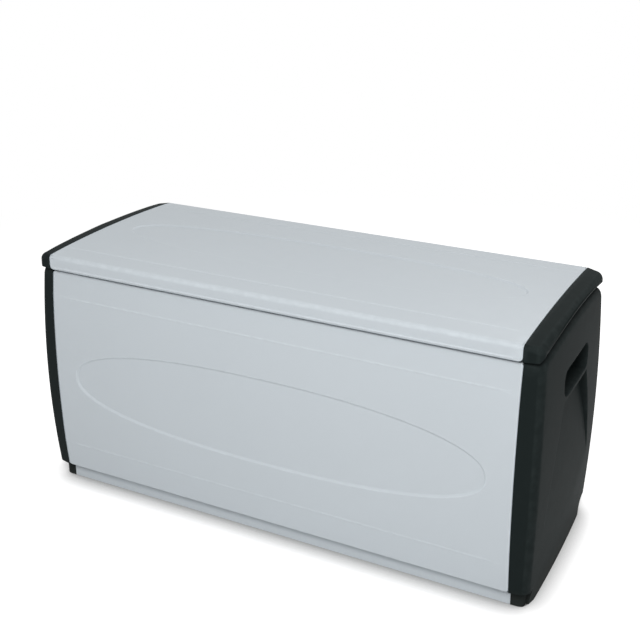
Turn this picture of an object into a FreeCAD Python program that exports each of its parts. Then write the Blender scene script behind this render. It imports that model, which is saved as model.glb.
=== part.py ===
import FreeCAD, Part
import math
import os
import re

import Sketcher
from FreeCAD import Placement, Rotation, Vector

# Outdoor storage chest: two black moulded end panels carry grey front, back and floor panels,
# and a hinged grey lid with black end caps. Millimetres, +X along the chest, -Y is the front, +Z up,
# origin on the ground under the middle of the chest.

# Sides of the prisms that stand for small round things, and ribs counted from the middle rib
SMALL_SIDES = 8
HEAD_SIDES = 6
RIB_STEPS = 2

SIZES = {
    # Long grey panels, seen in section
    "panel_length": 1100,
    "half_depth": 230,
    "belly": 14,
    "panel_bottom": 40,
    "panel_top": 540,
    "band_low": 107,
    "band_high": 481,
    "band_out": 7,
    "panel_depth": 20,
    "panel_wall": 4,
    "panel_edge_round": 3,
    "rib_thick": 2.5,
    "rib_pitch": 180,
    "seam_gap": 0.3,
    # Sunk oval of the long panels
    "oval_half_length": 491,
    "oval_half_height": 99,
    "oval_centre": 290,
    "oval_depth": 2,
    # Tongues of the long panels in the posts of the end panels
    "tongue_reach": 14,
    "tongue_thick": 8,
    "tongue_trim": 20,
    "tongue_skin_gap": 1,
    "slide_gap": 0.3,
    # End panels
    "end_depth": 50,
    "corner_setback": 11,
    "plan_bulge": 5.5,
    "end_wall": 4,
    "end_top": 541,
    "arch_rise": 20,
    "end_rim_bevel": 7,
    "end_rib_spread": 118,
    "end_shelf_pitch": 165,
    # Feet of the end panels
    "foot_height": 40,
    "foot_inset": 12,
    "foot_length": 38,
    "foot_round": 20,
    # Carrying recess of the end panels
    "pocket_bottom": 413,
    "pocket_top": 471,
    "pocket_half": 91,
    "pocket_sink": 30,
    "scoop_top": 404,
    "scoop_bottom": 78,
    "scoop_top_half": 86,
    "scoop_bottom_half": 188,
    "scoop_side_swell": 10,
    "scoop_sink": 22,
    "scoop_middle_sink": 7,
    "scoop_run_out": 4,
    # Plinth strips and floor
    "plinth_inset": 15,
    "plinth_width": 26,
    "plinth_height": 36,
    "plinth_wall": 4,
    "floor_wall": 4,
    "floor_rib_drop": 22,
    "floor_rib_pitch": 200,
    "floor_long_rib_pitch": 90,
    "floor_side_gap": 0.5,
    "floor_rib_gap": 2,
    "floor_tab_reach": 10,
    "floor_tab_half": 150,
    "seat_gap": 0.3,
    # Lid
    "lid_overhang": 9,
    "lid_bottom": 545,
    "lid_shoulder": 569.5,
    "lid_round": 9,
    "lid_crease_half": 183,
    "lid_crease_height": 581.5,
    "lid_crown": 586,
    "lid_wall": 3.6,
    "lid_rib_bottom": 562,
    "lid_rib_pitch": 180,
    "lid_long_rib_pitch": 150,
    "lid_oval_half_length": 482,
    "lid_oval_half_depth": 91,
    "lid_oval_depth": 1.8,
    "cap_wall": 4,
    "cap_face_wall": 9,
    "cap_rim_bevel": 8,
    "cap_drop": 6,
    # Hinge along the rear edge
    "hinge_out": 6,
    "hinge_rise": 2.5,
    "hinge_pitch": 380,
    "knuckle_radius": 7,
    "knuckle_width": 24,
    "knuckle_gap": 0.5,
    "knuckle_swing_gap": 1,
    "gusset_drop": 36,
    "gusset_root": 8,
    "neck_rise": 15,
    "hinge_pin_radius": 3,
    "turn_gap": 0.05,
    "lid_swing": 100,
    # Lid stays
    "stay_radius": 150,
    "stay_lid_angle": 7,
    "stay_wall_angle": 35,
    "stay_thick": 4,
    "stay_width": 20,
    "stay_slot_end": 1.5,
    "stay_side_gap": 0.5,
    "stay_tip": 9,
    "stud_radius": 3.5,
    "stud_head_radius": 8,
    "stud_head_thick": 3,
    "stud_grip": 12,
    "boss_radius": 11,
    # Fasteners and buffers
    "screw_radius": 2,
    "screw_head_radius": 4.5,
    "screw_head_thick": 2.5,
    "cap_screw_length": 14,
    "cap_screw_pitch": 150,
    "cap_screw_height": 565,
    "cap_boss_radius": 5,
    "cap_boss_length": 11,
    "floor_screw_length": 14,
    "floor_screw_pitch": 400,
    "floor_screw_inset": 30,
    "buffer_length": 16,
    "buffer_width": 9,
    "buffer_spread": 170,
    # How far a cutting form runs past what it cuts
    "overcut": 1,
}

# Sizes that follow from the ones above
DERIVED = {
    "seam_half": "panel_length / 2",
    "end_face": "seam_half + end_depth",
    "inner_half": "half_depth - panel_depth",
    "band_middle": "(band_low + band_high) / 2",
    "rise_middle": "(panel_bottom + end_top) / 2",
    "half_rise": "(end_top - panel_bottom) / 2",
    "belly_radius": "(half_rise ^ 2 + belly ^ 2) / (2 * belly)",
    "arch_radius": "(half_depth ^ 2 + arch_rise ^ 2) / (2 * arch_rise)",
    "dome_radius": "(half_depth ^ 2 + plan_bulge ^ 2) / (2 * plan_bulge)",
    "side_lean": "atan(corner_setback / end_depth)",
    "lid_half_depth": "half_depth + lid_overhang",
    "guide_face": "half_depth - end_wall - tongue_skin_gap - tongue_thick - slide_gap",
    "hinge_y": "half_depth + hinge_out",
    "hinge_z": "panel_top + hinge_rise",
    "plinth_face": "half_depth - plinth_inset",
    "floor_bottom": "plinth_height + seat_gap",
    "floor_top": "floor_bottom + floor_wall",
    "floor_half": "inner_half - floor_side_gap",
    "lid_end": "seam_half - seam_gap",
    "stay_outer_x": "lid_end - lid_wall - stay_side_gap",
    "stay_inner_x": "stay_outer_x - stay_thick",
    "stay_lid_y": "hinge_y - stay_radius * cos(stay_lid_angle)",
    "stay_lid_z": "hinge_z + stay_radius * sin(stay_lid_angle)",
    "stay_wall_y": "hinge_y - stay_radius * cos(stay_wall_angle)",
    "stay_wall_z": "hinge_z - stay_radius * sin(stay_wall_angle)",
    "stay_closed": "2 * stay_radius * sin((stay_lid_angle + stay_wall_angle) / 2)",
    "stay_open": "2 * stay_radius * sin((stay_lid_angle + stay_wall_angle + lid_swing) / 2)",
    "knuckle_step": "knuckle_width + knuckle_gap",
    "knuckle_room_radius": f"(knuckle_radius + knuckle_swing_gap) / cos(180 / {SMALL_SIDES})",
}

doc = FreeCAD.newDocument("storage_chest")
sheet = doc.addObject("Spreadsheet::Sheet", "size")
for row, (alias, value) in enumerate(SIZES.items(), start=1):
    sheet.set(f"A{row}", str(value))
    sheet.setAlias(f"A{row}", alias)
for row, (alias, formula) in enumerate(DERIVED.items(), start=1):
    sheet.set(f"B{row}", f"={formula}")
    sheet.setAlias(f"B{row}", alias)
doc.recompute()

WORD = re.compile(r"\b[a-z][a-z_0-9]*\b")
FUNCTIONS = ("sin", "cos", "tan", "atan", "sqrt")
nodes = []


def bound(text):
    """An expression on sheet aliases, written so that any object of the document can hold it."""
    return WORD.sub(lambda word: word[0] if word[0] in FUNCTIONS else f"size.{word[0]}", text)


def number(text):
    """The value of an expression now."""
    return float(sheet.evalExpression(bound(text)))


def bind(thing, **expressions):
    """Binds properties to expressions; in a name, two underscores stand for a dot."""
    for name, text in expressions.items():
        thing.setExpression(name.replace("__", "."), bound(text))


def new_body(name):
    return doc.addObject("PartDesign::Body", name)


def new_sketch(body, plane_role, offset="0", shift="0"):
    """A sketch on one of the body's own origin planes, moved out along its normal and sideways."""
    sketch = body.newObject("Sketcher::SketchObject", f"{body.Name}_sketch")
    plane = [item for item in body.Origin.OriginFeatures if item.Role == plane_role][0]
    sketch.AttachmentSupport = [(plane, "")]
    sketch.MapMode = "FlatFace"
    bind(sketch, AttachmentOffset__Base__z=offset, AttachmentOffset__Base__x=shift)
    return sketch


def arc_through(start, apex, end):
    """A counter-clockwise arc through three points, and whether it runs from start to end."""
    circle = Part.Arc(start, apex, end).toShape().Curve
    centre = circle.Center
    turn = (apex - start).cross(end - apex).z
    first, last = (start, end) if turn > 0 else (end, start)
    low = math.atan2(first.y - centre.y, first.x - centre.x)
    high = math.atan2(last.y - centre.y, last.x - centre.x)
    if high < low:
        high += 2 * math.pi
    flat = Part.Circle(centre, Vector(0, 0, 1), circle.Radius)
    return Part.ArcOfCircle(flat, low, high), turn > 0


def hold_point(sketch, element, corner, place, name):
    """Fixes one point of a sketch by two dimensions bound to expressions."""
    for kind, letter, text in (("DistanceX", "u", place[0]), ("DistanceY", "v", place[1])):
        index = sketch.addConstraint(
            Sketcher.Constraint(kind, -1, 1, element, corner, number(text)))
        sketch.renameConstraint(index, f"{letter}_{name}")
        sketch.setExpression(f"Constraints.{letter}_{name}", bound(text))


def draw(sketch, corners, apexes=None):
    """A closed outline. Edge i runs from corner i to the next one, as an arc where apexes[i] is given."""
    apexes = apexes or {}
    points = [Vector(number(u), number(v), 0) for u, v in corners]
    ends = []
    for i, start in enumerate(points):
        end = points[(i + 1) % len(points)]
        if i in apexes:
            apex = Vector(number(apexes[i][0]), number(apexes[i][1]), 0)
            arc, forward = arc_through(start, apex, end)
            sketch.addGeometry(arc, False)
            ends.append((1, 2) if forward else (2, 1))
        else:
            sketch.addGeometry(Part.LineSegment(start, end), False)
            ends.append((1, 2))
    for i in range(len(points)):
        following = (i + 1) % len(points)
        sketch.addConstraint(
            Sketcher.Constraint("Coincident", i, ends[i][1], following, ends[following][0]))
        hold_point(sketch, i, ends[i][0], corners[i], f"corner_{i}")
    for i, place in apexes.items():
        marker = sketch.addGeometry(Part.Point(Vector(number(place[0]), number(place[1]), 0)), True)
        hold_point(sketch, marker, 1, place, f"apex_{i}")
        sketch.addConstraint(Sketcher.Constraint("PointOnObject", marker, 1, i))


def pad_along_x(name, corners, apexes, length):
    """A body with a constant section in the YZ plane, centred on X = 0."""
    body = new_body(name)
    sketch = new_sketch(body, "YZ_Plane")
    draw(sketch, corners, apexes)
    pad = body.newObject("PartDesign::Pad", f"{name}_pad")
    pad.Profile = sketch
    pad.SideType = "Symmetric"
    bind(pad, Length=length)
    return body


def loft_along_x(name, near, far, near_x, far_x):
    """A body that runs from one section in a YZ plane to another."""
    body = new_body(name)
    sketches = []
    for (corners, apexes), place in ((near, near_x), (far, far_x)):
        sketch = new_sketch(body, "YZ_Plane", offset=place)
        draw(sketch, corners, apexes)
        sketches.append(sketch)
    loft = body.newObject("PartDesign::AdditiveLoft", f"{name}_loft")
    loft.Profile = sketches[0]
    loft.Sections = [sketches[1]]
    loft.Ruled = True
    return body


def block(name, x, y, z):
    """A box from pairs of expressions, one pair per axis."""
    solid = doc.addObject("Part::Box", name)
    bind(solid, Length=f"({x[1]}) - ({x[0]})", Width=f"({y[1]}) - ({y[0]})",
         Height=f"({z[1]}) - ({z[0]})",
         Placement__Base__x=x[0], Placement__Base__y=y[0], Placement__Base__z=z[0])
    return solid


def rod_along_x(name, radius, x, y, z):
    """A cylinder along X between the pair of expressions x."""
    solid = doc.addObject("Part::Cylinder", name)
    solid.Placement = Placement(Vector(), Rotation(Vector(0, 1, 0), 90))
    bind(solid, Radius=radius, Height=f"({x[1]}) - ({x[0]})",
         Placement__Base__x=x[0], Placement__Base__y=y, Placement__Base__z=z)
    return solid


def prism_along_x(name, radius, x, y, z, sides=SMALL_SIDES):
    """A regular prism along X, for small fasteners and their bores, with radius to its corners."""
    solid = doc.addObject("Part::Prism", name)
    solid.Polygon = sides
    solid.Placement = Placement(Vector(), Rotation(Vector(0, 1, 0), 90))
    bind(solid, Circumradius=radius, Height=f"({x[1]}) - ({x[0]})",
         Placement__Base__x=x[0], Placement__Base__y=y, Placement__Base__z=z)
    return solid


def prism_along_z(name, radius, x, y, z, sides=SMALL_SIDES):
    """A regular prism along Z between the pair of expressions z."""
    solid = doc.addObject("Part::Prism", name)
    solid.Polygon = sides
    bind(solid, Circumradius=radius, Height=f"({z[1]}) - ({z[0]})",
         Placement__Base__x=x, Placement__Base__y=y, Placement__Base__z=z[0])
    return solid


def fuse(name, solids):
    joined = doc.addObject("Part::MultiFuse", name)
    joined.Shapes = solids
    return joined


def cut(name, base, tool):
    result = doc.addObject("Part::Cut", name)
    result.Base = base
    result.Tool = tool
    return result


def shared(name, first, second):
    result = doc.addObject("Part::MultiCommon", name)
    result.Shapes = [first, second]
    return result


def mirrored(name, source, normal):
    """The mirror image of a solid in a plane through the origin."""
    image = doc.addObject("Part::Mirroring", name)
    image.Source = source
    image.Normal = normal
    return image


def rounded(name, base, radius, chosen):
    """Rounds the edges of a solid for which chosen(edge) is true."""
    doc.recompute()
    picks = [i for i, edge in enumerate(base.Shape.Edges, start=1) if chosen(edge)]
    if not picks:
        raise ValueError(f"{name}: no edge to round")
    result = doc.addObject("Part::Fillet", name)
    result.Base = base
    result.Edges = [(i, number(radius), number(radius)) for i in picks]
    return result


def bevelled(name, base, width, chosen):
    """Bevels the edges of a solid for which chosen(edge) is true."""
    doc.recompute()
    picks = [i for i, edge in enumerate(base.Shape.Edges, start=1) if chosen(edge)]
    if not picks:
        raise ValueError(f"{name}: no edge to bevel")
    result = doc.addObject("Part::Chamfer", name)
    result.Base = base
    result.Edges = [(i, number(width), number(width)) for i in picks]
    return result


def node(solid, label):
    """Declares a finished sub-part under the name of its file."""
    solid.Label = label
    nodes.append(solid)
    return solid


def both_ends(solid, stem):
    """Declares a right-hand sub-part and its mirror image."""
    node(solid, f"{stem}_right")
    node(mirrored(f"{stem}_image", solid, Vector(1, 0, 0)), f"{stem}_left")


# Long grey panels: a ribbed slab with a rounded belly between two flat bands


def long_panel_outline(inset, back):
    """Section of the front panel, its outer side moved in by inset, its open side at y = -back."""
    flat = f"-(half_depth - ({inset}))"
    band = f"-(half_depth + band_out - ({inset}))"
    low = f"panel_bottom + ({inset})"
    high = f"panel_top - ({inset})"
    corners = [(flat, low), (f"-({back})", low), (f"-({back})", high), (flat, high),
               (band, "band_high"), (band, "band_low")]
    return corners, {4: (f"-(half_depth + belly - ({inset}))", "band_middle")}


def make_long_panel(name):
    """The panel between the end panels, standing at the front of the chest."""
    slab = pad_along_x(f"{name}_slab", *long_panel_outline("0", "inner_half"),
                       "2 * (seam_half - seam_gap)")
    slab_edges = rounded(f"{name}_edges", slab, "panel_edge_round", is_long_outer_edge)
    core = pad_along_x(f"{name}_core", *long_panel_outline("panel_wall", "inner_half - overcut"),
                       "2 * (seam_half - seam_gap - panel_wall)")
    ribs = []
    for i in range(-RIB_STEPS, RIB_STEPS + 1):
        centre = f"{i} * rib_pitch"
        ribs.append(block(f"{name}_rib", (f"{centre} - rib_thick / 2", f"{centre} + rib_thick / 2"),
                          ("-half_depth - belly", "-inner_half"), ("panel_bottom", "panel_top")))
    ribs.append(block(f"{name}_shelf", ("-seam_half", "seam_half"), ("-half_depth - belly", "-inner_half"),
                      ("band_middle - rib_thick / 2", "band_middle + rib_thick / 2")))
    cells = cut(f"{name}_cells", core, fuse(f"{name}_ribs", ribs))
    shell = cut(f"{name}_shell", slab_edges, cells)
    oval = doc.addObject("Part::Ellipse", f"{name}_oval")
    oval.Placement = Placement(Vector(), Rotation(Vector(1, 0, 0), 90))
    bind(oval, MajorRadius="oval_half_length", MinorRadius="oval_half_height",
         Placement__Base__y="-half_depth", Placement__Base__z="oval_centre")
    prism = doc.addObject("Part::Extrusion", f"{name}_oval_prism")
    prism.Base = oval
    prism.DirMode = "Custom"
    prism.Dir = Vector(0, -1, 0)
    prism.Solid = True
    bind(prism, LengthFwd="belly + oval_depth")
    recess_floor = pad_along_x(f"{name}_recess_floor",
                               *long_panel_outline("oval_depth", "inner_half"), "panel_length")
    sunk = cut(f"{name}_sunk", shell, cut(f"{name}_recess", prism, recess_floor))
    tongues = []
    for side in (-1, 1):
        near, far = "seam_half - seam_gap - panel_wall", "seam_half + tongue_reach"
        across = (near, far) if side > 0 else (f"-({far})", f"-({near})")
        outer = "-(half_depth - end_wall - tongue_skin_gap)"
        tongues.append(block(f"{name}_tongue", across, (outer, f"{outer} + tongue_thick"),
                             ("panel_bottom + tongue_trim", "panel_top - tongue_trim")))
    return fuse(f"{name}_with_tongues", [sunk] + tongues)


def is_long_outer_edge(edge):
    """The two edges along X at the top and bottom of a long panel's outer side."""
    box = edge.BoundBox
    outer = abs(box.YMin + number("half_depth")) < 0.01 and box.YLength < 0.01
    return outer and box.XLength > number("panel_length") / 2


front_panel = make_long_panel("front")
node(front_panel, "front_panel")

# The rear panel is the same moulding turned round, with the lower half of the hinge on its top edge


def hinge_places(steps):
    """Middle of each knuckle along X, for steps away from the middle of its hinge."""
    return [f"{group} * hinge_pitch + ({step}) * knuckle_step"
            for group in (-1, 0, 1) for step in steps]


def knuckles(name, steps, neck_corners):
    """Barrels round the hinge line, each with a neck of the given section."""
    barrels = []
    for centre in hinge_places(steps):
        across = (f"{centre} - knuckle_width / 2", f"{centre} + knuckle_width / 2")
        barrels.append(prism_along_x(f"{name}_barrel", "knuckle_radius", across,
                                     "hinge_y", "hinge_z"))
        neck = new_body(f"{name}_neck")
        sketch = new_sketch(neck, "YZ_Plane", offset=centre)
        draw(sketch, neck_corners)
        pad = neck.newObject("PartDesign::Pad", f"{name}_neck_pad")
        pad.Profile = sketch
        pad.SideType = "Symmetric"
        bind(pad, Length="knuckle_width")
        barrels.append(neck)
    return barrels


def knuckle_room(name, steps):
    """The space in which the other half's knuckles turn."""
    rooms = []
    for centre in hinge_places(steps):
        reach = "(knuckle_width / 2 + knuckle_gap)"
        rooms.append(prism_along_x(f"{name}_room", "knuckle_room_radius",
                                   (f"{centre} - {reach}", f"{centre} + {reach}"), "hinge_y", "hinge_z"))
    return fuse(f"{name}_rooms", rooms)


def pin_bore(name):
    """The bores of the hinge pins, a running fit."""
    bores = []
    for centre in hinge_places((0,)):
        across = (f"{centre} - 2 * knuckle_step", f"{centre} + 2 * knuckle_step")
        bores.append(rod_along_x(f"{name}_bore", "hinge_pin_radius + turn_gap", across,
                                 "hinge_y", "hinge_z"))
    return fuse(f"{name}_bores", bores)


CHEST_STEPS = (-1, 1)
LID_STEPS = (0,)
gusset = [("half_depth - gusset_root", "panel_top - gusset_drop"),
          ("hinge_y + knuckle_radius", "hinge_z"), ("half_depth - gusset_root", "hinge_z")]
rear_moulding = mirrored("rear_moulding", front_panel, Vector(0, 1, 0))
rear_cleared = cut("rear_cleared", rear_moulding, knuckle_room("rear", LID_STEPS))
rear_joined = fuse("rear_joined", [rear_cleared] + knuckles("rear", CHEST_STEPS, gusset))
node(cut("rear_bored", rear_joined, pin_bore("rear")), "back_panel")

for group, side in enumerate(("left", "centre", "right"), start=-1):
    middle = f"{group} * hinge_pitch"
    half = "knuckle_step + knuckle_width / 2"
    pin = rod_along_x("hinge_pin", "hinge_pin_radius", (f"{middle} - ({half})", f"{middle} + ({half})"),
                      "hinge_y", "hinge_z")
    node(pin, f"hinge_pin_{side}")

# End panels: a tray open to the inside, bowed in plan and in height, with ribs, feet and a hand recess


def dome(name, inset):
    """A ball so large that its side is the bowed outer face of an end."""
    ball = doc.addObject("Part::Sphere", name)
    ball.Placement = Placement(Vector(), Rotation(Vector(0, 0, 1), 180))
    bind(ball, Radius=f"dome_radius - ({inset})", Placement__Base__x="end_face - dome_radius",
         Placement__Base__z="rise_middle")
    return ball


def barrel_side(name, side, inset):
    """A lying cylinder, turned in plan, whose side is the front or rear face of an end panel."""
    barrel = doc.addObject("Part::Cylinder", name)
    barrel.Placement = Placement(Vector(), Rotation(Vector(0, 1, 0), 90))
    bind(barrel, Radius=f"belly_radius - ({inset})", Height="2 * half_depth",
         Placement__Rotation__Axis__x=f"{side} * sin(side_lean)",
         Placement__Rotation__Axis__y="cos(side_lean)",
         Placement__Base__x="seam_half - belly_radius * sin(side_lean) - half_depth * cos(side_lean)",
         Placement__Base__y=f"{side} * (half_depth + belly - belly_radius * cos(side_lean) "
                            "+ half_depth * sin(side_lean))",
         Placement__Base__z="rise_middle")
    return barrel


def end_form(name, inset, near_x, low):
    """The space within the bowed faces of an end panel, all of them moved in by inset."""
    form = block(f"{name}_room", (near_x, "end_face"), ("-half_depth - belly", "half_depth + belly"),
                 (low, "end_top + arch_rise"))
    arch = rod_along_x(f"{name}_arch", f"arch_radius - ({inset})",
                       ("seam_half - end_depth", "end_face + overcut"),
                       "0", "end_top + arch_rise - arch_radius")
    limits = [dome(f"{name}_dome", inset), barrel_side(f"{name}_front", -1, inset),
              barrel_side(f"{name}_rear", 1, inset), arch]
    for i, limit in enumerate(limits, start=1):
        form = shared(f"{name}_step_{i}", form, limit)
    return form


def hand_recess(name, grow):
    """The finger pocket and the scoop below it, both larger all round by grow."""
    outside = "end_face + pocket_sink"
    pocket = block(f"{name}_pocket", (f"end_face - pocket_sink - ({grow})", outside),
                   (f"-pocket_half - ({grow})", f"pocket_half + ({grow})"),
                   (f"pocket_bottom - ({grow})", f"pocket_top + ({grow})"))
    arch = new_body(f"{name}_arch")
    sketch = new_sketch(arch, "YZ_Plane", offset="seam_half")
    low, high = f"scoop_bottom - ({grow})", f"scoop_top + ({grow})"
    low_half, high_half = f"scoop_bottom_half + ({grow})", f"scoop_top_half + ({grow})"
    side = f"(scoop_bottom_half + scoop_top_half) / 2 + scoop_side_swell + ({grow})"
    middle = "(scoop_bottom + scoop_top) / 2"
    corners = [(f"-({low_half})", low), (low_half, low), (high_half, high), (f"-({high_half})", high)]
    draw(sketch, corners, {1: (side, middle), 3: (f"-({side})", middle)})
    arch_pad = arch.newObject("PartDesign::Pad", f"{name}_arch_pad")
    arch_pad.Profile = sketch
    bind(arch_pad, Length="end_depth + pocket_sink")
    wedge = new_body(f"{name}_wedge")
    sketch = new_sketch(wedge, "XZ_Plane")
    start = f"end_face - scoop_run_out - ({grow})"
    sunk = f"end_face - scoop_sink - ({grow})"
    draw(sketch, [(start, low), (outside, low), (outside, high), (sunk, high)],
         {3: (f"end_face - scoop_middle_sink - ({grow})", middle)})
    wedge_pad = wedge.newObject("PartDesign::Pad", f"{name}_wedge_pad")
    wedge_pad.Profile = sketch
    wedge_pad.SideType = "Symmetric"
    bind(wedge_pad, Length="2 * half_depth")
    return fuse(name, [pocket, shared(f"{name}_scoop", arch, wedge)])


def is_end_rim(edge):
    """The rim of the bowed outer face: front, top and rear, but not along the ground."""
    box = edge.BoundBox
    outer = box.XMin > number("seam_half + end_depth / 2")
    return outer and box.ZMax > number("foot_height")


end_bevelled = bevelled("end_bevelled", end_form("end_outer", "0", "seam_half", "0"),
                        "end_rim_bevel", is_end_rim)
end_hollow = bevelled("end_hollow", end_form("end_inner", "end_wall", "seam_half - overcut", "end_wall"),
                      "end_rim_bevel - end_wall", is_end_rim)
across_end = ("seam_half", "end_face")
end_solid_parts = []
for i in (-1, 1):
    middle = f"{i} * end_rib_spread"
    end_solid_parts.append(block("end_rib", across_end,
                                 (f"{middle} - rib_thick / 2", f"{middle} + rib_thick / 2"),
                                 ("0", "end_top + arch_rise")))
for i in (1, 2):
    height = f"foot_height + {i} * end_shelf_pitch"
    end_solid_parts.append(block("end_shelf", across_end, ("-guide_face", "guide_face"),
                                 (f"{height} - rib_thick / 2", f"{height} + rib_thick / 2")))
for side in (-1, 1):
    near, far = "guide_face - rib_thick", "guide_face"
    along = (near, far) if side > 0 else (f"-({far})", f"-({near})")
    end_solid_parts.append(block("end_guide", across_end, along, ("0", "end_top + arch_rise")))
    near, far = "half_depth - foot_length - plinth_inset - end_wall", "half_depth + belly"
    along = (near, far) if side > 0 else (f"-({far})", f"-({near})")
    end_solid_parts.append(block("end_foot_core", across_end, along, ("0", "foot_height + end_wall")))
end_solid_parts.append(prism_along_x("end_boss", "boss_radius", across_end, "stay_wall_y", "stay_wall_z"))
end_solid_parts.append(hand_recess("recess_skin", "end_wall"))
end_cells = cut("end_cells", end_hollow, fuse("end_inner_parts", end_solid_parts))
collar_span = ("stay_outer_x + stay_side_gap", "seam_half + end_wall")
end_collar = prism_along_x("end_collar", "boss_radius", collar_span, "stay_wall_y", "stay_wall_z")
end_shell = fuse("end_shell", [cut("end_walls", end_bevelled, end_cells), end_collar])


def foot_cut(side):
    """What is cut away round one foot, so that it stands back under the corner."""
    ground, top = "-overcut", "foot_height"
    near, far = "half_depth - foot_length - plinth_inset", "half_depth + 2 * belly"
    along = (near, far) if side > 0 else (f"-({far})", f"-({near})")
    around = block("foot_room", ("seam_half - overcut", "end_face + overcut"), along, (ground, top))
    foot = new_body("foot")
    sketch = new_sketch(foot, "XY_Plane", offset="-2 * overcut")
    outer_x, outer_y = "end_face - foot_inset", "plinth_face"
    slant = f"(1 - {math.sqrt(0.5):.6f}) * foot_round"
    flip = "" if side > 0 else "-"
    corners = [("seam_half - 2 * overcut", f"{flip}(half_depth / 2)"), (outer_x, f"{flip}(half_depth / 2)"),
               (outer_x, f"{flip}({outer_y} - foot_round)"),
               (f"{outer_x} - foot_round", f"{flip}({outer_y})"),
               ("seam_half - 2 * overcut", f"{flip}({outer_y})")]
    draw(sketch, corners, {2: (f"{outer_x} - {slant}", f"{flip}({outer_y} - {slant})")})
    pad = foot.newObject("PartDesign::Pad", "foot_pad")
    pad.Profile = sketch
    bind(pad, Length="foot_height + 4 * overcut")
    return cut("foot_cut", around, foot)


floor_tab_room = block("floor_tab_room", ("seam_half - overcut", "seam_half + floor_tab_reach + slide_gap"),
                       ("-floor_tab_half - slide_gap", "floor_tab_half + slide_gap"),
                       ("floor_bottom - slide_gap", "floor_top + slide_gap"))
stud_bore = rod_along_x("stud_bore", "stud_radius + turn_gap", ("stay_outer_x", "seam_half + stud_grip"),
                        "stay_wall_y", "stay_wall_z")
end_tools = fuse("end_tools", [hand_recess("recess", "0"), foot_cut(-1), foot_cut(1),
                               floor_tab_room, stud_bore])
both_ends(cut("end_panel", end_shell, end_tools), "end_panel")

# Plinth strips under the long panels, a channel open to the inside


def plinth_outline():
    face, rear = "-plinth_face", "-plinth_face + plinth_width"
    inner, low, high = f"{face} + plinth_wall", "plinth_wall", "plinth_height - plinth_wall"
    return [(face, "0"), (rear, "0"), (rear, low), (inner, low), (inner, high), (rear, high),
            (rear, "plinth_height"), (face, "plinth_height")], {}


def screw_places():
    """The floor screws of one plinth strip along X."""
    return [f"{i} * floor_screw_pitch" for i in (-1, 0, 1)]


plinth_strip = pad_along_x("plinth_strip", *plinth_outline(), "2 * (seam_half - seam_gap)")
plinth_bores = fuse("plinth_bores", [
    prism_along_z("plinth_bore", "screw_radius + turn_gap", x, "-half_depth + floor_screw_inset",
                  ("plinth_height - 2 * plinth_wall", "plinth_height + overcut")) for x in screw_places()])
front_plinth = cut("plinth_drilled", plinth_strip, plinth_bores)
node(front_plinth, "front_plinth")
node(mirrored("rear_plinth", front_plinth, Vector(0, 1, 0)), "rear_plinth")

# Floor: a plate with ribs below, held by the plinth strips and by a tab in each end panel

floor_parts = [
    block("floor_plate", ("-lid_end", "lid_end"), ("-floor_half", "floor_half"),
          ("floor_bottom", "floor_top")),
    block("floor_tabs", ("-seam_half - floor_tab_reach", "seam_half + floor_tab_reach"),
          ("-floor_tab_half", "floor_tab_half"), ("floor_bottom", "floor_top"))]
rib_half = "plinth_face - plinth_width - floor_rib_gap"
floor_rib_band = ("floor_bottom - floor_rib_drop", "floor_bottom")
for i in range(-RIB_STEPS, RIB_STEPS + 1):
    middle = f"{i} * floor_rib_pitch"
    floor_parts.append(block("floor_rib", (f"{middle} - rib_thick / 2", f"{middle} + rib_thick / 2"),
                             (f"-({rib_half})", rib_half), floor_rib_band))
for i in (-1, 0, 1):
    middle = f"{i} * floor_long_rib_pitch"
    floor_parts.append(block("floor_long_rib",
                             (f"-{RIB_STEPS} * floor_rib_pitch", f"{RIB_STEPS} * floor_rib_pitch"),
                             (f"{middle} - rib_thick / 2", f"{middle} + rib_thick / 2"), floor_rib_band))
floor_holes = []
floor_screws = []
for side in (-1, 1):
    across = f"{side} * (half_depth - floor_screw_inset)"
    for along in screw_places():
        floor_holes.append(prism_along_z("floor_hole", "screw_radius + turn_gap", along, across,
                                         ("floor_bottom - overcut", "floor_top + overcut")))
        shank = prism_along_z("floor_screw_shank", "screw_radius", along, across,
                              ("floor_top - floor_screw_length", "floor_top"))
        head = prism_along_z("floor_screw_head", "screw_head_radius", along, across,
                             ("floor_top", "floor_top + screw_head_thick"), HEAD_SIDES)
        floor_screws.append(fuse("floor_screw", [shank, head]))
floor_joined = fuse("floor_joined", floor_parts)
node(cut("floor_drilled", floor_joined, fuse("floor_all_holes", floor_holes)), "floor_panel")
floor_screw_group = doc.addObject("Part::Compound", "floor_screw_group")
floor_screw_group.Links = floor_screws
node(floor_screw_group, "floor_screws")

# Lid: a crowned panel with lips front and back, ribs below, and a cap at each end


def lid_top_corners(half, inset, drop="0"):
    """The upper side of the lid's section from rear to front, with its arcs, for edge numbers from 1."""
    turn = f"lid_round - ({inset})"
    bend = f"{math.sqrt(0.5):.6f} * ({turn})"
    edge = f"{half} - ({inset})"
    centre = f"{half} - lid_round"
    shoulder = f"lid_shoulder - ({drop})"
    shoulder_top = f"{shoulder} + {turn}"
    crease = f"lid_crease_height - ({drop}) - ({inset})"
    corners = [(edge, shoulder), (centre, shoulder_top), ("lid_crease_half", crease),
               ("-lid_crease_half", crease), (f"-({centre})", shoulder_top), (f"-({edge})", shoulder)]
    arcs = {2: (f"{centre} + {bend}", f"{shoulder} + {bend}"),
            4: ("0", f"lid_crown - ({drop}) - ({inset})"),
            6: (f"-({centre}) - {bend}", f"{shoulder} + {bend}")}
    return edge, corners, arcs


def lid_outline(inset, bottom):
    """Section of the lid panel."""
    edge, top, arcs = lid_top_corners("lid_half_depth", inset)
    return [(f"-({edge})", bottom), (edge, bottom)] + top, arcs


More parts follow.
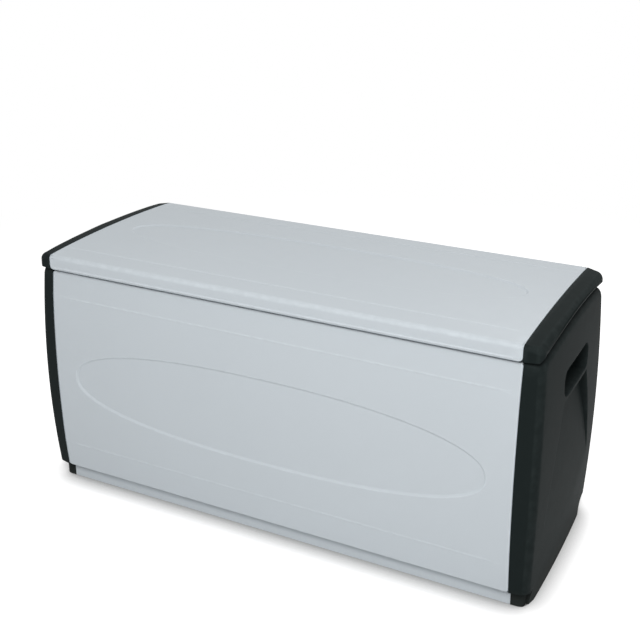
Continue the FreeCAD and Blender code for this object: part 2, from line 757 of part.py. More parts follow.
def cap_outline(inset, setback, drop, bottom):
    """Section of a lid cap at one X, whose lower edge follows the arched top of the end panel."""
    edge, top, arcs = lid_top_corners(f"(lid_half_depth - ({setback}))", inset, drop)
    arcs[0] = ("0", f"{bottom} + arch_rise")
    return [(f"-({edge})", bottom), (edge, bottom)] + top, arcs


lid_slab = pad_along_x("lid_slab", *lid_outline("0", "lid_bottom"), "2 * lid_end")
lid_core = pad_along_x("lid_core", *lid_outline("lid_wall", "lid_bottom - overcut"),
                       "2 * (lid_end - lid_wall)")
lid_ribs = []
for i in range(-RIB_STEPS, RIB_STEPS + 1):
    middle = f"{i} * lid_rib_pitch"
    lid_ribs.append(block("lid_rib", (f"{middle} - rib_thick / 2", f"{middle} + rib_thick / 2"),
                          ("-lid_half_depth", "lid_half_depth"), ("lid_rib_bottom", "lid_crown")))
for i in (-1, 1):
    middle = f"{i} * lid_long_rib_pitch / 2"
    lid_ribs.append(block("lid_long_rib", (f"-{RIB_STEPS} * lid_rib_pitch", f"{RIB_STEPS} * lid_rib_pitch"),
                          (f"{middle} - rib_thick / 2", f"{middle} + rib_thick / 2"),
                          ("lid_rib_bottom", "lid_crown")))
lid_shell = cut("lid_shell", lid_slab, cut("lid_cells", lid_core, fuse("lid_all_ribs", lid_ribs)))
lid_oval = doc.addObject("Part::Ellipse", "lid_oval")
bind(lid_oval, MajorRadius="lid_oval_half_length", MinorRadius="lid_oval_half_depth",
     Placement__Base__z="lid_shoulder")
lid_prism = doc.addObject("Part::Extrusion", "lid_prism")
lid_prism.Base = lid_oval
lid_prism.DirMode = "Custom"
lid_prism.Dir = Vector(0, 0, 1)
lid_prism.Solid = True
bind(lid_prism, LengthFwd="lid_crown - lid_shoulder + overcut")
lid_recess_floor = pad_along_x("lid_recess_floor", *lid_outline("lid_oval_depth", "lid_bottom"),
                               "panel_length")
lid_sunk = cut("lid_sunk", lid_shell, cut("lid_recess", lid_prism, lid_recess_floor))
lid_cleared = cut("lid_cleared", lid_sunk, knuckle_room("lid", CHEST_STEPS))
neck_top = "lid_bottom + neck_rise"
lid_neck = [("hinge_y - knuckle_radius", "hinge_z"), ("hinge_y + knuckle_radius", "hinge_z"),
            ("lid_half_depth", neck_top), ("lid_half_depth - lid_wall", neck_top)]
lid_joined = fuse("lid_joined", [lid_cleared] + knuckles("lid", LID_STEPS, lid_neck))


def cap_screw_places():
    """The screws that hold one cap, across the lid."""
    return [f"{i} * cap_screw_pitch" for i in (-1, 0, 1)]


lid_bores = [pin_bore("lid")]
for side in (-1, 1):
    near, far = "lid_end - 2 * lid_wall", "seam_half"
    across = (near, far) if side > 0 else (f"-({far})", f"-({near})")
    for place in cap_screw_places():
        lid_bores.append(prism_along_x("lid_screw_hole", "screw_radius + turn_gap", across, place,
                                       "cap_screw_height"))
    lid_bores.append(rod_along_x("lid_rivet_hole", "stud_radius + turn_gap", across,
                                 "stay_lid_y", "stay_lid_z"))
node(cut("lid_bored", lid_joined, fuse("lid_all_bores", lid_bores)), "lid_panel")


def is_cap_rim(edge):
    """The rim of a cap's outer face; along its foot the bevel makes a notch above the end panel."""
    box = edge.BoundBox
    above = box.ZMax > number("lid_bottom")
    return above and box.XMin > number("seam_half + end_depth / 2")


cap_near = "seam_half + seam_gap"
cap_block = shared(
    "cap_block",
    loft_along_x("cap_sides", cap_outline("0", "0", "0", "lid_bottom"),
                 cap_outline("0", "corner_setback", "cap_drop", "lid_bottom"),
                 cap_near, "end_face + overcut"),
    dome("cap_dome", "0"))
cap_bevelled = bevelled("cap_bevelled", cap_block, "cap_rim_bevel", is_cap_rim)
cap_hollow = shared(
    "cap_hollow",
    loft_along_x("cap_hollow_sides", cap_outline("cap_wall", "0", "0", "lid_bottom - overcut"),
                 cap_outline("cap_wall", "corner_setback", "cap_drop", "lid_bottom - overcut"),
                 f"{cap_near} + cap_wall", "end_face"),
    dome("cap_hollow_dome", "cap_face_wall"))
boss_span = (cap_near, f"{cap_near} + cap_boss_length")
bore_span = (f"{cap_near} - overcut", f"{cap_near} + cap_screw_length")
cap_bosses = []
cap_bores = []
for place in cap_screw_places():
    cap_bosses.append(prism_along_x("cap_boss", "cap_boss_radius", boss_span, place, "cap_screw_height"))
    cap_bores.append(prism_along_x("cap_bore", "screw_radius + turn_gap", bore_span, place,
                                   "cap_screw_height"))
cap_shell = cut("cap_shell", cap_bevelled, cut("cap_cells", cap_hollow, fuse("cap_all_bosses", cap_bosses)))
both_ends(cut("cap_bored", cap_shell, fuse("cap_all_bores", cap_bores)), "lid_cap")

cap_screws = []
for place in cap_screw_places():
    seat = "lid_end - lid_wall"
    shank = prism_along_x("cap_screw_shank", "screw_radius", (seat, f"{seat} + cap_screw_length"), place,
                          "cap_screw_height")
    head = prism_along_x("cap_screw_head", "screw_head_radius", (f"{seat} - screw_head_thick", seat), place,
                         "cap_screw_height", HEAD_SIDES)
    cap_screws.append(fuse("cap_screw", [shank, head]))
cap_screw_group = doc.addObject("Part::Compound", "cap_screw_group")
cap_screw_group.Links = cap_screws
both_ends(cap_screw_group, "cap_screws")

# Lid stays: a slotted bar turns on a rivet in the lid and slides on a stud in the end panel


def stadium(name, width, near, far):
    """A bar with round ends below its pivot at the origin, its end centres near and far down."""
    across = ("0", "stay_thick")
    half = f"({width}) / 2"
    return fuse(name, [
        block(f"{name}_middle", across, (f"-{half}", half), (f"-({far})", f"-({near})")),
        rod_along_x(f"{name}_top", half, across, "0", f"-({near})"),
        rod_along_x(f"{name}_low", half, across, "0", f"-({far})")])


stay_bar = stadium("stay_bar", "stay_width", "0", "stay_open + stay_tip")
stay_slot = stadium("stay_slot", "2 * (stud_radius + turn_gap)", "stay_closed - stay_slot_end",
                    "stay_open + stay_slot_end")
stay_eye = rod_along_x("stay_eye", "stud_radius + turn_gap", ("0", "stay_thick"), "0", "0")
stay = cut("stay", stay_bar, fuse("stay_openings", [stay_slot, stay_eye]))
stay_tilt = "(stay_wall_angle - stay_lid_angle) / 2"
stay.Placement = Placement(Vector(), Rotation(Vector(1, 0, 0), number(stay_tilt)))
bind(stay, Placement__Base__x="stay_inner_x", Placement__Base__y="stay_lid_y",
     Placement__Base__z="stay_lid_z", Placement__Rotation__Angle=stay_tilt)
both_ends(stay, "lid_stay")


def headed_pin(name, y, z, tail):
    """A pin through a stay: a six-sided head inside the chest and a round shank to tail."""
    face = "stay_inner_x - stay_side_gap"
    shank = rod_along_x(f"{name}_shank", "stud_radius", (face, tail), y, z)
    head = prism_along_x(f"{name}_head", "stud_head_radius", (f"{face} - stud_head_thick", face), y, z,
                         HEAD_SIDES)
    return fuse(name, [shank, head])


both_ends(headed_pin("rivet", "stay_lid_y", "stay_lid_z", "lid_end"), "stay_rivet")
both_ends(headed_pin("stud", "stay_wall_y", "stay_wall_z", "seam_half + stud_grip"), "stay_stud")

# Buffers on the end panels, on which the lid comes to rest


def arch_layer_outline():
    """The gap between the arched top of the end panels and the caps above them."""
    low, high = "end_top + seat_gap / 2", "lid_bottom - seat_gap"
    corners = [("-half_depth", low), ("half_depth", low),
               ("lid_half_depth", high), ("-lid_half_depth", high)]
    return corners, {0: ("0", f"{low} + arch_rise"), 2: ("0", f"{high} + arch_rise")}


buffer_layer = pad_along_x("buffer_layer", *arch_layer_outline(), "2 * end_face")
buffer_places = []
for side in (-1, 1):
    near, far = "seam_half + seam_gap", "seam_half + seam_gap + buffer_width"
    across = (near, far) if side > 0 else (f"-({far})", f"-({near})")
    for place in ("-buffer_spread", "buffer_spread"):
        buffer_places.append(block("buffer_place", across,
                                   (f"{place} - buffer_length / 2", f"{place} + buffer_length / 2"),
                                   ("end_top - overcut", "lid_crown")))
node(shared("buffers", buffer_layer, fuse("buffer_blocks", buffer_places)), "lid_buffers")

# Check and write

doc.recompute()
for item in doc.Objects:
    if "Invalid" in item.State or "Error" in item.State:
        raise RuntimeError(f"{item.Name} failed: {item.State}")
os.makedirs("parts", exist_ok=True)
for item in nodes:
    if item.Shape.isNull() or not item.Shape.isValid() or not item.Shape.Solids:
        raise RuntimeError(f"{item.Label} has no valid solid")
    item.Shape.exportStep(f"parts/{item.Label}.step")
    box = item.Shape.BoundBox
    print(f"{item.Label:18s} solids {len(item.Shape.Solids)}  volume {item.Shape.Volume / 1000:9.1f} cm3  "
          f"x {box.XMin:7.1f} {box.XMax:7.1f}  y {box.YMin:7.1f} {box.YMax:7.1f}  "
          f"z {box.ZMin:7.1f} {box.ZMax:7.1f}")
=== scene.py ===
"""Outdoor storage chest: smooth mouldings, finishes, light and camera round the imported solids.

The grey panels, the black end panels and the lid caps are built here as moulded skins with rounded
rims. Their hidden inner sides, with ribs and bores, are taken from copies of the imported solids.
Metres, +X along the chest, -Y is the front, +Z up, origin on the ground under the middle.
"""

import logging
import math
from dataclasses import dataclass, field
from enum import Enum
from typing import Callable, Iterable, Sequence

import bmesh
import bpy
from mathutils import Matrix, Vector
from mathutils.bvhtree import BVHTree
from mathutils.geometry import delaunay_2d_cdt
from mathutils.kdtree import KDTree

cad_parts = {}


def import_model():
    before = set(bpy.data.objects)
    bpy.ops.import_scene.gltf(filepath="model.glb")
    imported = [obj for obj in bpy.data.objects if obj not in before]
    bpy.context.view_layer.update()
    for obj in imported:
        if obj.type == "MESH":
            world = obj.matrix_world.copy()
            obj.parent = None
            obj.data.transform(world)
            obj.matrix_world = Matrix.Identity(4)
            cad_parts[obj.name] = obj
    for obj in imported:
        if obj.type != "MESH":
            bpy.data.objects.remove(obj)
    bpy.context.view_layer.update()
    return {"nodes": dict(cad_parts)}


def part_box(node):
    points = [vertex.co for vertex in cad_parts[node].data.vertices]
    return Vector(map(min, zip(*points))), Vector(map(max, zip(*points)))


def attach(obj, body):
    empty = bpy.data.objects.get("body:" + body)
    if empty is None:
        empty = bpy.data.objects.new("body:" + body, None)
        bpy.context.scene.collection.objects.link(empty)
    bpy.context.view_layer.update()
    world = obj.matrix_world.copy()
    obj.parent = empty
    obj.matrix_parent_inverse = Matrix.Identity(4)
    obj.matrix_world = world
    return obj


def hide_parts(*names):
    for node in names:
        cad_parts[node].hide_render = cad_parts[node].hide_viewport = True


MM = 0.001
SMOOTH_ANGLE = math.radians(38)
MERGE = 0.002 * MM
WELD = 0.05 * MM
PACKED_MARGIN = 0.3 * MM
LOG = logging.getLogger("storage_chest")

RIM_BEND = 0.45
QUARTER = math.pi / 2

Flat = tuple[float, float]
Colour = tuple[float, float, float, float]
Mesh = bmesh.types.BMesh
Piece = bpy.types.Object
Socket = bpy.types.NodeSocket
Material = bpy.types.Material


class Body(Enum):
    """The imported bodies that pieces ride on."""

    CHEST = "chest"
    LID = "lid"
    STAY_LEFT = "stay_left"
    STAY_RIGHT = "stay_right"


class Side(Enum):
    """The two ends of the chest, with the sign of X there."""

    LEFT = -1
    RIGHT = 1

    @property
    def word(self) -> str:
        """The side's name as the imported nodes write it."""
        return self.name.lower()


def linear(red: int, green: int, blue: int) -> tuple[float, float, float, float]:
    """Turns a screen colour into the linear colour that shaders take.

    Args:
        red: Red from 0 to 255.
        green: Green from 0 to 255.
        blue: Blue from 0 to 255.

    Returns:
        The colour with full alpha.
    """
    def channel(value: int) -> float:
        """One channel of it."""
        share = value / 255
        return share / 12.92 if share <= 0.04045 else ((share + 0.055) / 1.055) ** 2.4
    return channel(red), channel(green), channel(blue), 1.0


@dataclass(frozen=True)
class Stretch:
    """A straight or round stretch of a section, in depth and height.

    Attributes:
        start: Where it begins.
        end: Where it ends.
        apex: A point on it between the two, for a round stretch.
    """

    start: Flat
    end: Flat
    apex: Flat | None = None

    @property
    def circle(self) -> tuple[Vector, float, float, float]:
        """Centre, radius, first angle and signed turn of a round stretch."""
        (ax, ay), (bx, by), (cx, cy) = self.start, self.apex, self.end
        twice = 2 * (ax * (by - cy) + bx * (cy - ay) + cx * (ay - by))
        a, b, c = ax * ax + ay * ay, bx * bx + by * by, cx * cx + cy * cy
        centre = Vector(((a * (by - cy) + b * (cy - ay) + c * (ay - by)) / twice,
                         (a * (cx - bx) + b * (ax - cx) + c * (bx - ax)) / twice))
        first = math.atan2(ay - centre.y, ax - centre.x)
        last = math.atan2(cy - centre.y, cx - centre.x)
        turn = (last - first + math.pi) % (2 * math.pi) - math.pi
        return centre, (Vector(self.start) - centre).length, first, turn

    @property
    def length(self) -> float:
        """Its length along the section."""
        if self.apex is None:
            return (Vector(self.end) - Vector(self.start)).length
        _, radius, _, turn = self.circle
        return radius * abs(turn)

    def at(self, share: float) -> tuple[Vector, Vector]:
        """Finds a place on the stretch.

        Args:
            share: How far along, from 0 to 1.

        Returns:
            The point, and the unit normal to the left of the way along it.
        """
        if self.apex is None:
            way = (Vector(self.end) - Vector(self.start)).normalized()
            return Vector(self.start).lerp(Vector(self.end), share), Vector((-way.y, way.x))
        centre, radius, first, turn = self.circle
        angle = first + turn * share
        out = Vector((math.cos(angle), math.sin(angle)))
        return centre + radius * out, out * (-1 if turn > 0 else 1)


@dataclass(frozen=True)
class Section:
    """A moulding's section: stretches end to end, with the outside on the left."""

    stretches: tuple[Stretch, ...]

    @property
    def length(self) -> float:
        """Its whole length."""
        return sum(part.length for part in self.stretches)

    @property
    def breaks(self) -> list[float]:
        """How far along the joints between the stretches lie."""
        places, along = [], 0.0
        for part in self.stretches[:-1]:
            along += part.length
            places.append(along)
        return places

    def at(self, along: float) -> tuple[Vector, Vector]:
        """Finds a place on the section.

        Args:
            along: The distance from its start.

        Returns:
            The point and the outward normal, averaged at a joint between two stretches.
        """
        left = along
        for number, part in enumerate(self.stretches):
            length = part.length
            if left <= length + 1e-9 or part is self.stretches[-1]:
                point, normal = part.at(min(max(left / length, 0.0), 1.0))
                if abs(left - length) < 1e-6 and number + 1 < len(self.stretches):
                    normal = (normal + self.stretches[number + 1].at(0.0)[1]).normalized()
                return point, normal
            left -= length
        raise ValueError("a section needs a stretch")

    def crossing(self, value: float, axis: int) -> Vector:
        """Finds where a section that always climbs along one axis reaches a value.

        Args:
            value: The depth or height.
            axis: 0 for depth, 1 for height.

        Returns:
            The point there.
        """
        low, high = 0.0, self.length
        for _ in range(24):
            middle = (low + high) / 2
            if self.at(middle)[0][axis] < value:
                low = middle
            else:
                high = middle
        return self.at(low)[0]

    def lay(self, u: float, along: float, sink: float) -> Vector:
        """The place at so much length along the chest, sunk below the section."""
        point, normal = self.at(along)
        place = point - normal * sink
        return Vector((u, place.x, place.y))


@dataclass
class Pattern:
    """A flat pattern of loops, lines and loose points, each point with how far it is sunk."""

    places: list[Flat] = field(default_factory=list)
    sinks: list[float] = field(default_factory=list)
    edges: list[tuple[int, int]] = field(default_factory=list)

    def line(self, points: Sequence[Flat], sinks: Sequence[float] | float, closed: bool = True) -> None:
        """Adds a line that the mesh follows.

        Args:
            points: Its points in order.
            sinks: How far each is sunk, or one value for all.
            closed: Whether the last point joins the first.
        """
        first = len(self.places)
        self.places.extend(points)
        self.sinks.extend(sinks if isinstance(sinks, Sequence) else [sinks] * len(points))
        last = len(points) if closed else len(points) - 1
        self.edges.extend((first + i, first + (i + 1) % len(points)) for i in range(last))

    def raised(self, half_length: float, along: float, out: float, step: float) -> None:
        """Adds a straight line that stands out and ends flush.

        Args:
            half_length: Half its length, about u = 0.
            along: Where it lies along the section.
            out: How far it stands out.
            step: The longest distance between its points.
        """
        us = spaced(-half_length, half_length, step)
        sinks = [-out if abs(u) < half_length - MM else 0.0 for u in us]
        self.line([(u, along) for u in us], sinks, closed=False)

    def fill(self, low: Flat, high: Flat, step: float, clear: float,
             sink: Callable[[float, float], float | None]) -> None:
        """Fills what is left with a grid of loose points.

        Args:
            low: Lowest corner of the grid.
            high: Highest corner of the grid.
            step: Distance between points.
            clear: How far they stay from every line's points.
            sink: How far a place is sunk, or None where the grid has no point.
        """
        tree = KDTree(len(self.places))
        for number, place in enumerate(self.places):
            tree.insert((*place, 0.0), number)
        tree.balance()
        counts = [max(1, round((high[axis] - low[axis]) / step)) for axis in (0, 1)]
        for i in range(1, counts[0]):
            for j in range(1, counts[1]):
                u = low[0] + (high[0] - low[0]) * i / counts[0]
                v = low[1] + (high[1] - low[1]) * j / counts[1]
                depth = sink(u, v)
                if depth is not None and tree.find((u, v, 0.0))[2] > clear:
                    self.places.append((u, v))
                    self.sinks.append(depth)

    def laid(self, form: Callable[[float, float, float], Vector]) -> Mesh:
        """Meshes the pattern and lays it over a form.

        Args:
            form: Gives the point of a place that is sunk by so much.

        Returns:
            The mesh, with each vertex's sink in the layer named sink.
        """
        flat = [Vector(place) for place in self.places]
        found, _, faces, origins, _, _ = delaunay_2d_cdt(flat, self.edges, [], 1, 1e-7)
        mesh = bmesh.new()
        for place, origin in zip(found, origins):
            depth = self.sinks[origin[0]] if origin else 0.0
            mesh.verts.new(form(place.x, place.y, depth))
        mesh.verts.ensure_lookup_table()
        for face in faces:
            mesh.faces.new([mesh.verts[i] for i in face])
        return mesh


def spaced(start: float, end: float, step: float) -> list[float]:
    """Divides a span evenly into steps of at most so much, both ends included."""
    count = max(1, math.ceil(abs(end - start) / step))
    return [start + (end - start) * i / count for i in range(count + 1)]


def oval(centre: Flat, half_length: float, half_height: float, power: float, offset: float,
         count: int) -> list[Flat]:
    """A blunt oval moved outwards along its normals.

    Args:
        centre: Its middle.
        half_length: Its half axis along the first coordinate.
        half_height: Its half axis along the second.
        power: 2 for an ellipse, more for blunter ends.
        offset: How far outwards, negative for inwards.
        count: Number of points.

    Returns:
        The points, counter-clockwise.
    """
    points = []
    for i in range(count):
        angle = 2 * math.pi * i / count
        across, up = math.cos(angle), math.sin(angle)
        u = math.copysign(abs(across) ** (2 / power), across)
        v = math.copysign(abs(up) ** (2 / power), up)
        out = Vector((math.copysign(abs(u) ** (power - 1), u) * half_height,
                      math.copysign(abs(v) ** (power - 1), v) * half_length)).normalized()
        points.append((centre[0] + half_length * u + offset * out.x,
                       centre[1] + half_height * v + offset * out.y))
    return points


def offset_loop(points: Sequence[Flat], distance: float) -> list[Flat]:
    """Moves a counter-clockwise loop outwards.

    Args:
        points: The loop's points.
        distance: How far outwards, negative for inwards.

    Returns:
        As many points, each moved along the bisector of its corner.
    """
    moved = []
    for i, point in enumerate(points):
        before, after = Vector(points[i - 1]), Vector(points[(i + 1) % len(points)])
        here = Vector(point)
        first, second = (here - before).normalized(), (after - here).normalized()
        out = (Vector((first.y, -first.x)) + Vector((second.y, -second.x))).normalized()
        stretch = max(0.5, out.dot(Vector((first.y, -first.x))))
        moved.append(tuple(here + out * distance / stretch))
    return moved


def rounded_loop(corners: Sequence[Flat], radius: float, step: float) -> list[Flat]:
    """A closed outline with rounded corners.

    Args:
        corners: Its corners, counter-clockwise.
        radius: How far from a corner its round begins.
        step: The longest distance between points on the straight runs.

    Returns:
        The outline's points.
    """
    points: list[Flat] = []
    for i, corner in enumerate(corners):
        here = Vector(corner)
        back = (Vector(corners[i - 1]) - here).normalized()
        ahead_point = Vector(corners[(i + 1) % len(corners)])
        ahead = (ahead_point - here).normalized()
        for angle in spaced(0.0, QUARTER, math.pi / 16):
            points.append(tuple(here + radius * back * (1 - math.sin(angle))
                                + radius * ahead * (1 - math.cos(angle))))
        start, end = here + radius * ahead, ahead_point - radius * ahead
        run = spaced(0.0, 1.0, step / max((end - start).length, step))
        points.extend(tuple(start.lerp(end, share)) for share in run[1:-1])
    return points


def rounded_rectangle(half_length: float, height: float, inset: float, radius: float,
                      step: float) -> list[Flat]:
    """A rounded rectangle that stands on v = 0, centred on u = 0, less an inset all round."""
    end, top = half_length - inset, height - inset
    return rounded_loop(((-end, inset), (end, inset), (end, top), (-end, top)), radius - inset, step)


def as_object(name: str, mesh: Mesh, material: Material) -> Piece:
    """Makes an object of a mesh, smooth but for its sharp edges.

    Args:
        name: The piece's name.
        mesh: Its mesh, which is freed.
        material: Its finish.

    Returns:
        The new object, at the origin.
    """
    data = bpy.data.meshes.new(name)
    mesh.to_mesh(data)
    mesh.free()
    data.materials.append(material)
    stored = data.attributes.get("custom_normal")
    if stored is not None:
        data.attributes.remove(stored)
    data.polygons.foreach_set("use_smooth", [True] * len(data.polygons))
    data.set_sharp_from_angle(angle=SMOOTH_ANGLE)
    piece = bpy.data.objects.new(name, data)
    bpy.context.scene.collection.objects.link(piece)
    return piece


def join(target: Mesh, *others: Mesh) -> Mesh:
    """Adds meshes to another one.

    Args:
        target: The mesh that grows.
        others: Meshes to add, which are freed.

    Returns:
        The target.
    """
    for other in others:
        data = bpy.data.meshes.new("joining")
        other.to_mesh(data)
        other.free()
        target.from_mesh(data)
        bpy.data.meshes.remove(data)
    return target


def facing_out(mesh: Mesh, outward: Callable[[Vector], Vector]) -> None:
    """Turns a skin's faces so that they point outwards.

    Args:
        mesh: The skin.
        outward: Gives the outward way at a point.
    """
    mesh.normal_update()
    wrong = [face for face in mesh.faces
             if face.normal.dot(outward(face.calc_center_median())) < 0]
    bmesh.ops.reverse_faces(mesh, faces=wrong)


def merged_copy(node: Piece) -> Mesh:
    """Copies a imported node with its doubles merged."""
    mesh = bmesh.new()
    mesh.from_mesh(node.data)
    bmesh.ops.remove_doubles(mesh, verts=mesh.verts, dist=MERGE)
    return mesh


def inner_copy(node: Piece, is_outer: Callable[[Vector, Vector], bool]) -> Mesh:
    """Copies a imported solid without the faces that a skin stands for.

    Args:
        node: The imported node.
        is_outer: Whether a face with this middle and normal belongs to the replaced skin.

    Returns:
        A merged copy of the rest.
    """
    mesh = merged_copy(node)
    mesh.normal_update()
    outer = [face for face in mesh.faces if is_outer(face.calc_center_median(), face.normal)]
    bmesh.ops.delete(mesh, geom=outer, context="FACES")
    return mesh


def mark_rims(mesh: Mesh) -> Mesh:
    """Notes on each vertex of a skin how strongly the skin bends outwards there, for its edge wear and
    its painted edge highlight.

    Args:
        mesh: The skin.

    Returns:
        The skin, with the layer named rim.
    """
    layer = mesh.verts.layers.float.get("rim") or mesh.verts.layers.float.new("rim")
    mesh.normal_update()
    for vert in mesh.verts:
        bend = sum(max(0.0, edge.calc_face_angle_signed(0.0)) for edge in vert.link_edges
                   if len(edge.link_faces) == 2)
        vert[layer] = min(1.0, bend / RIM_BEND)
    return mesh


def clip_corners(mesh: Mesh, corners: Iterable[tuple[float, float, int]], radius: float) -> None:
    """Pulls the sharp corners of a copied solid back behind the rounded corners of its skin.

    Args:
        mesh: The copy.
        corners: X and height of each corner, and 1 where the piece lies above it or -1 below.
        radius: The skin's corner radius.
    """
    reach, behind = radius * 1.1, radius - 0.2 * MM
    for x, z, up in corners:
        inner = Vector((x - math.copysign(radius, x), z + up * radius))
        for place, normal in (((inner.x, 0, 0), (1, 0, 0)), ((0, 0, inner.y), (0, 0, 1))):
            near = [vert for vert in mesh.verts if abs(vert.co.x - x) < 6 * radius]
            parts = {edge for vert in near for edge in vert.link_edges}
            faces = {face for vert in near for face in vert.link_faces}
            bmesh.ops.bisect_plane(mesh, geom=[*near, *parts, *faces], plane_co=place, plane_no=normal)
        for vert in mesh.verts:
            away = Vector((vert.co.x, vert.co.z)) - inner
            beyond = away.x * x > 0 and away.y * up < 0 and away.length > radius
            if beyond and abs(away.x) < reach and abs(away.y) < reach:
                away *= behind / away.length
                vert.co.x, vert.co.z = inner.x + away.x, inner.y + away.y


def tuck(copy: Mesh, skin: Mesh) -> Mesh:
    """Moves the points of a copied solid that stick out through its skin back behind it.

    Args:
        copy: The copy.
        skin: The skin.

    Returns:
        The copy.
    """
    tree = BVHTree.FromBMesh(skin)
    for vert in copy.verts:
        place, normal, _, _ = tree.find_nearest(vert.co, 12 * MM)
        if place is None:
            continue
        out = (vert.co - place).dot(normal)
        if out > 0.05 * MM:
            vert.co -= normal * (out + 0.15 * MM)
    return copy


def rolled(radius: float, steps: int = 4) -> list[Flat]:
    """The rings of a rounded rim, from the rim inwards.

    Args:
        radius: The round's radius.
        steps: Number of rings within the round.

    Returns:
        Each ring's distance from the rim and its sink, with one ring past the round.
    """
    angles = spaced(0.0, QUARTER, QUARTER / steps)
    rings = [(radius * (1 - math.cos(angle)), radius * (1 - math.sin(angle))) for angle in angles]
    return rings + [(radius * 1.6, 0.0)]


def ridge(half_width: float, height: float) -> list[Flat]:
    """A narrow raised line, with a guard line beside each foot that keeps its shading narrow.

    Args:
        half_width: From its crest to its foot.
        height: How far its crest stands out.

    Returns:
        Each line's distance from the crest and how far it stands out.
    """
    near = [(half_width + 2 * MM, 0.0), (half_width, 0.0), (half_width / 2, 0.8 * height)]
    return [(-shift, out) for shift, out in near] + [(0.0, height)] + near[::-1]


def drop(piece: Piece) -> None:
    """Removes a piece together with its mesh."""
    data = piece.data
    bpy.data.objects.remove(piece)
    bpy.data.meshes.remove(data)


@dataclass(frozen=True)
class Wiring:
    """A node tree, with short ways to add to it."""

    tree: bpy.types.NodeTree

    def add(self, kind: str, given: dict[str | int, object], **settings: object) -> bpy.types.Node:
        """Adds a node.

        Args:
            kind: Its type.
            given: For each input, the constant that it holds or the socket that feeds it.
            settings: The node's own settings.

        Returns:
            The node.
        """
        node = self.tree.nodes.new(kind)
        for name, value in settings.items():
            setattr(node, name, value)
        for name, value in given.items():
            if isinstance(value, Socket):
                self.tree.links.new(value, node.inputs[name])
            else:
                node.inputs[name].default_value = value
        return node

    def maths(self, operation: str, first: Socket,
              second: Socket | float) -> Socket:
        """Joins two numbers."""
        return self.add("ShaderNodeMath", {0: first, 1: second}, operation=operation).outputs["Value"]

    def place(self) -> Socket:
        """The object's own coordinates."""
        return self.add("ShaderNodeTexCoord", {}).outputs["Object"]

    def noise(self, place: Socket, waves: float, detail: float) -> Socket:
        """A noise from 0 to 1, with so many waves per metre and finer octaves."""
        given = {"Vector": place, "Scale": waves, "Detail": detail}
        return self.add("ShaderNodeTexNoise", given).outputs["Fac"]

    def blend(self, share: Socket, low: Socket | Colour,
              high: Colour) -> Socket:
        """Mixes two colours."""
        return self.add("ShaderNodeMix", {0: share, 6: low, 7: high}, data_type="RGBA").outputs[2]

    def ranged(self, value: Socket, source: Flat, target: Flat,
               way: str = "LINEAR") -> Socket:
        """Maps a value from one span to another, and keeps it within."""
        names = ("Value", "From Min", "From Max", "To Min", "To Max")
        given = dict(zip(names, (value, *source, *target)))
        return self.add("ShaderNodeMapRange", given, interpolation_type=way).outputs["Result"]

    def over(self, share: Socket, low: Socket,
             strength: float) -> Socket:
        """Lays a plain white glow of one strength over a shader, by a share."""
        glow = self.add("ShaderNodeEmission", {"Strength": strength}).outputs["Emission"]
        return self.add("ShaderNodeMixShader", {"Fac": share, 1: low, 2: glow}).outputs["Shader"]


def fresh_material(name: str) -> tuple[Material, Wiring, bpy.types.Node]:
    """Makes a material.

    Args:
        name: Its name.

    Returns:
        The material, its wiring and its shader.
    """
    material = bpy.data.materials.new(name)
    material.use_nodes = True
    return material, Wiring(material.node_tree), material.node_tree.nodes["Principled BSDF"]


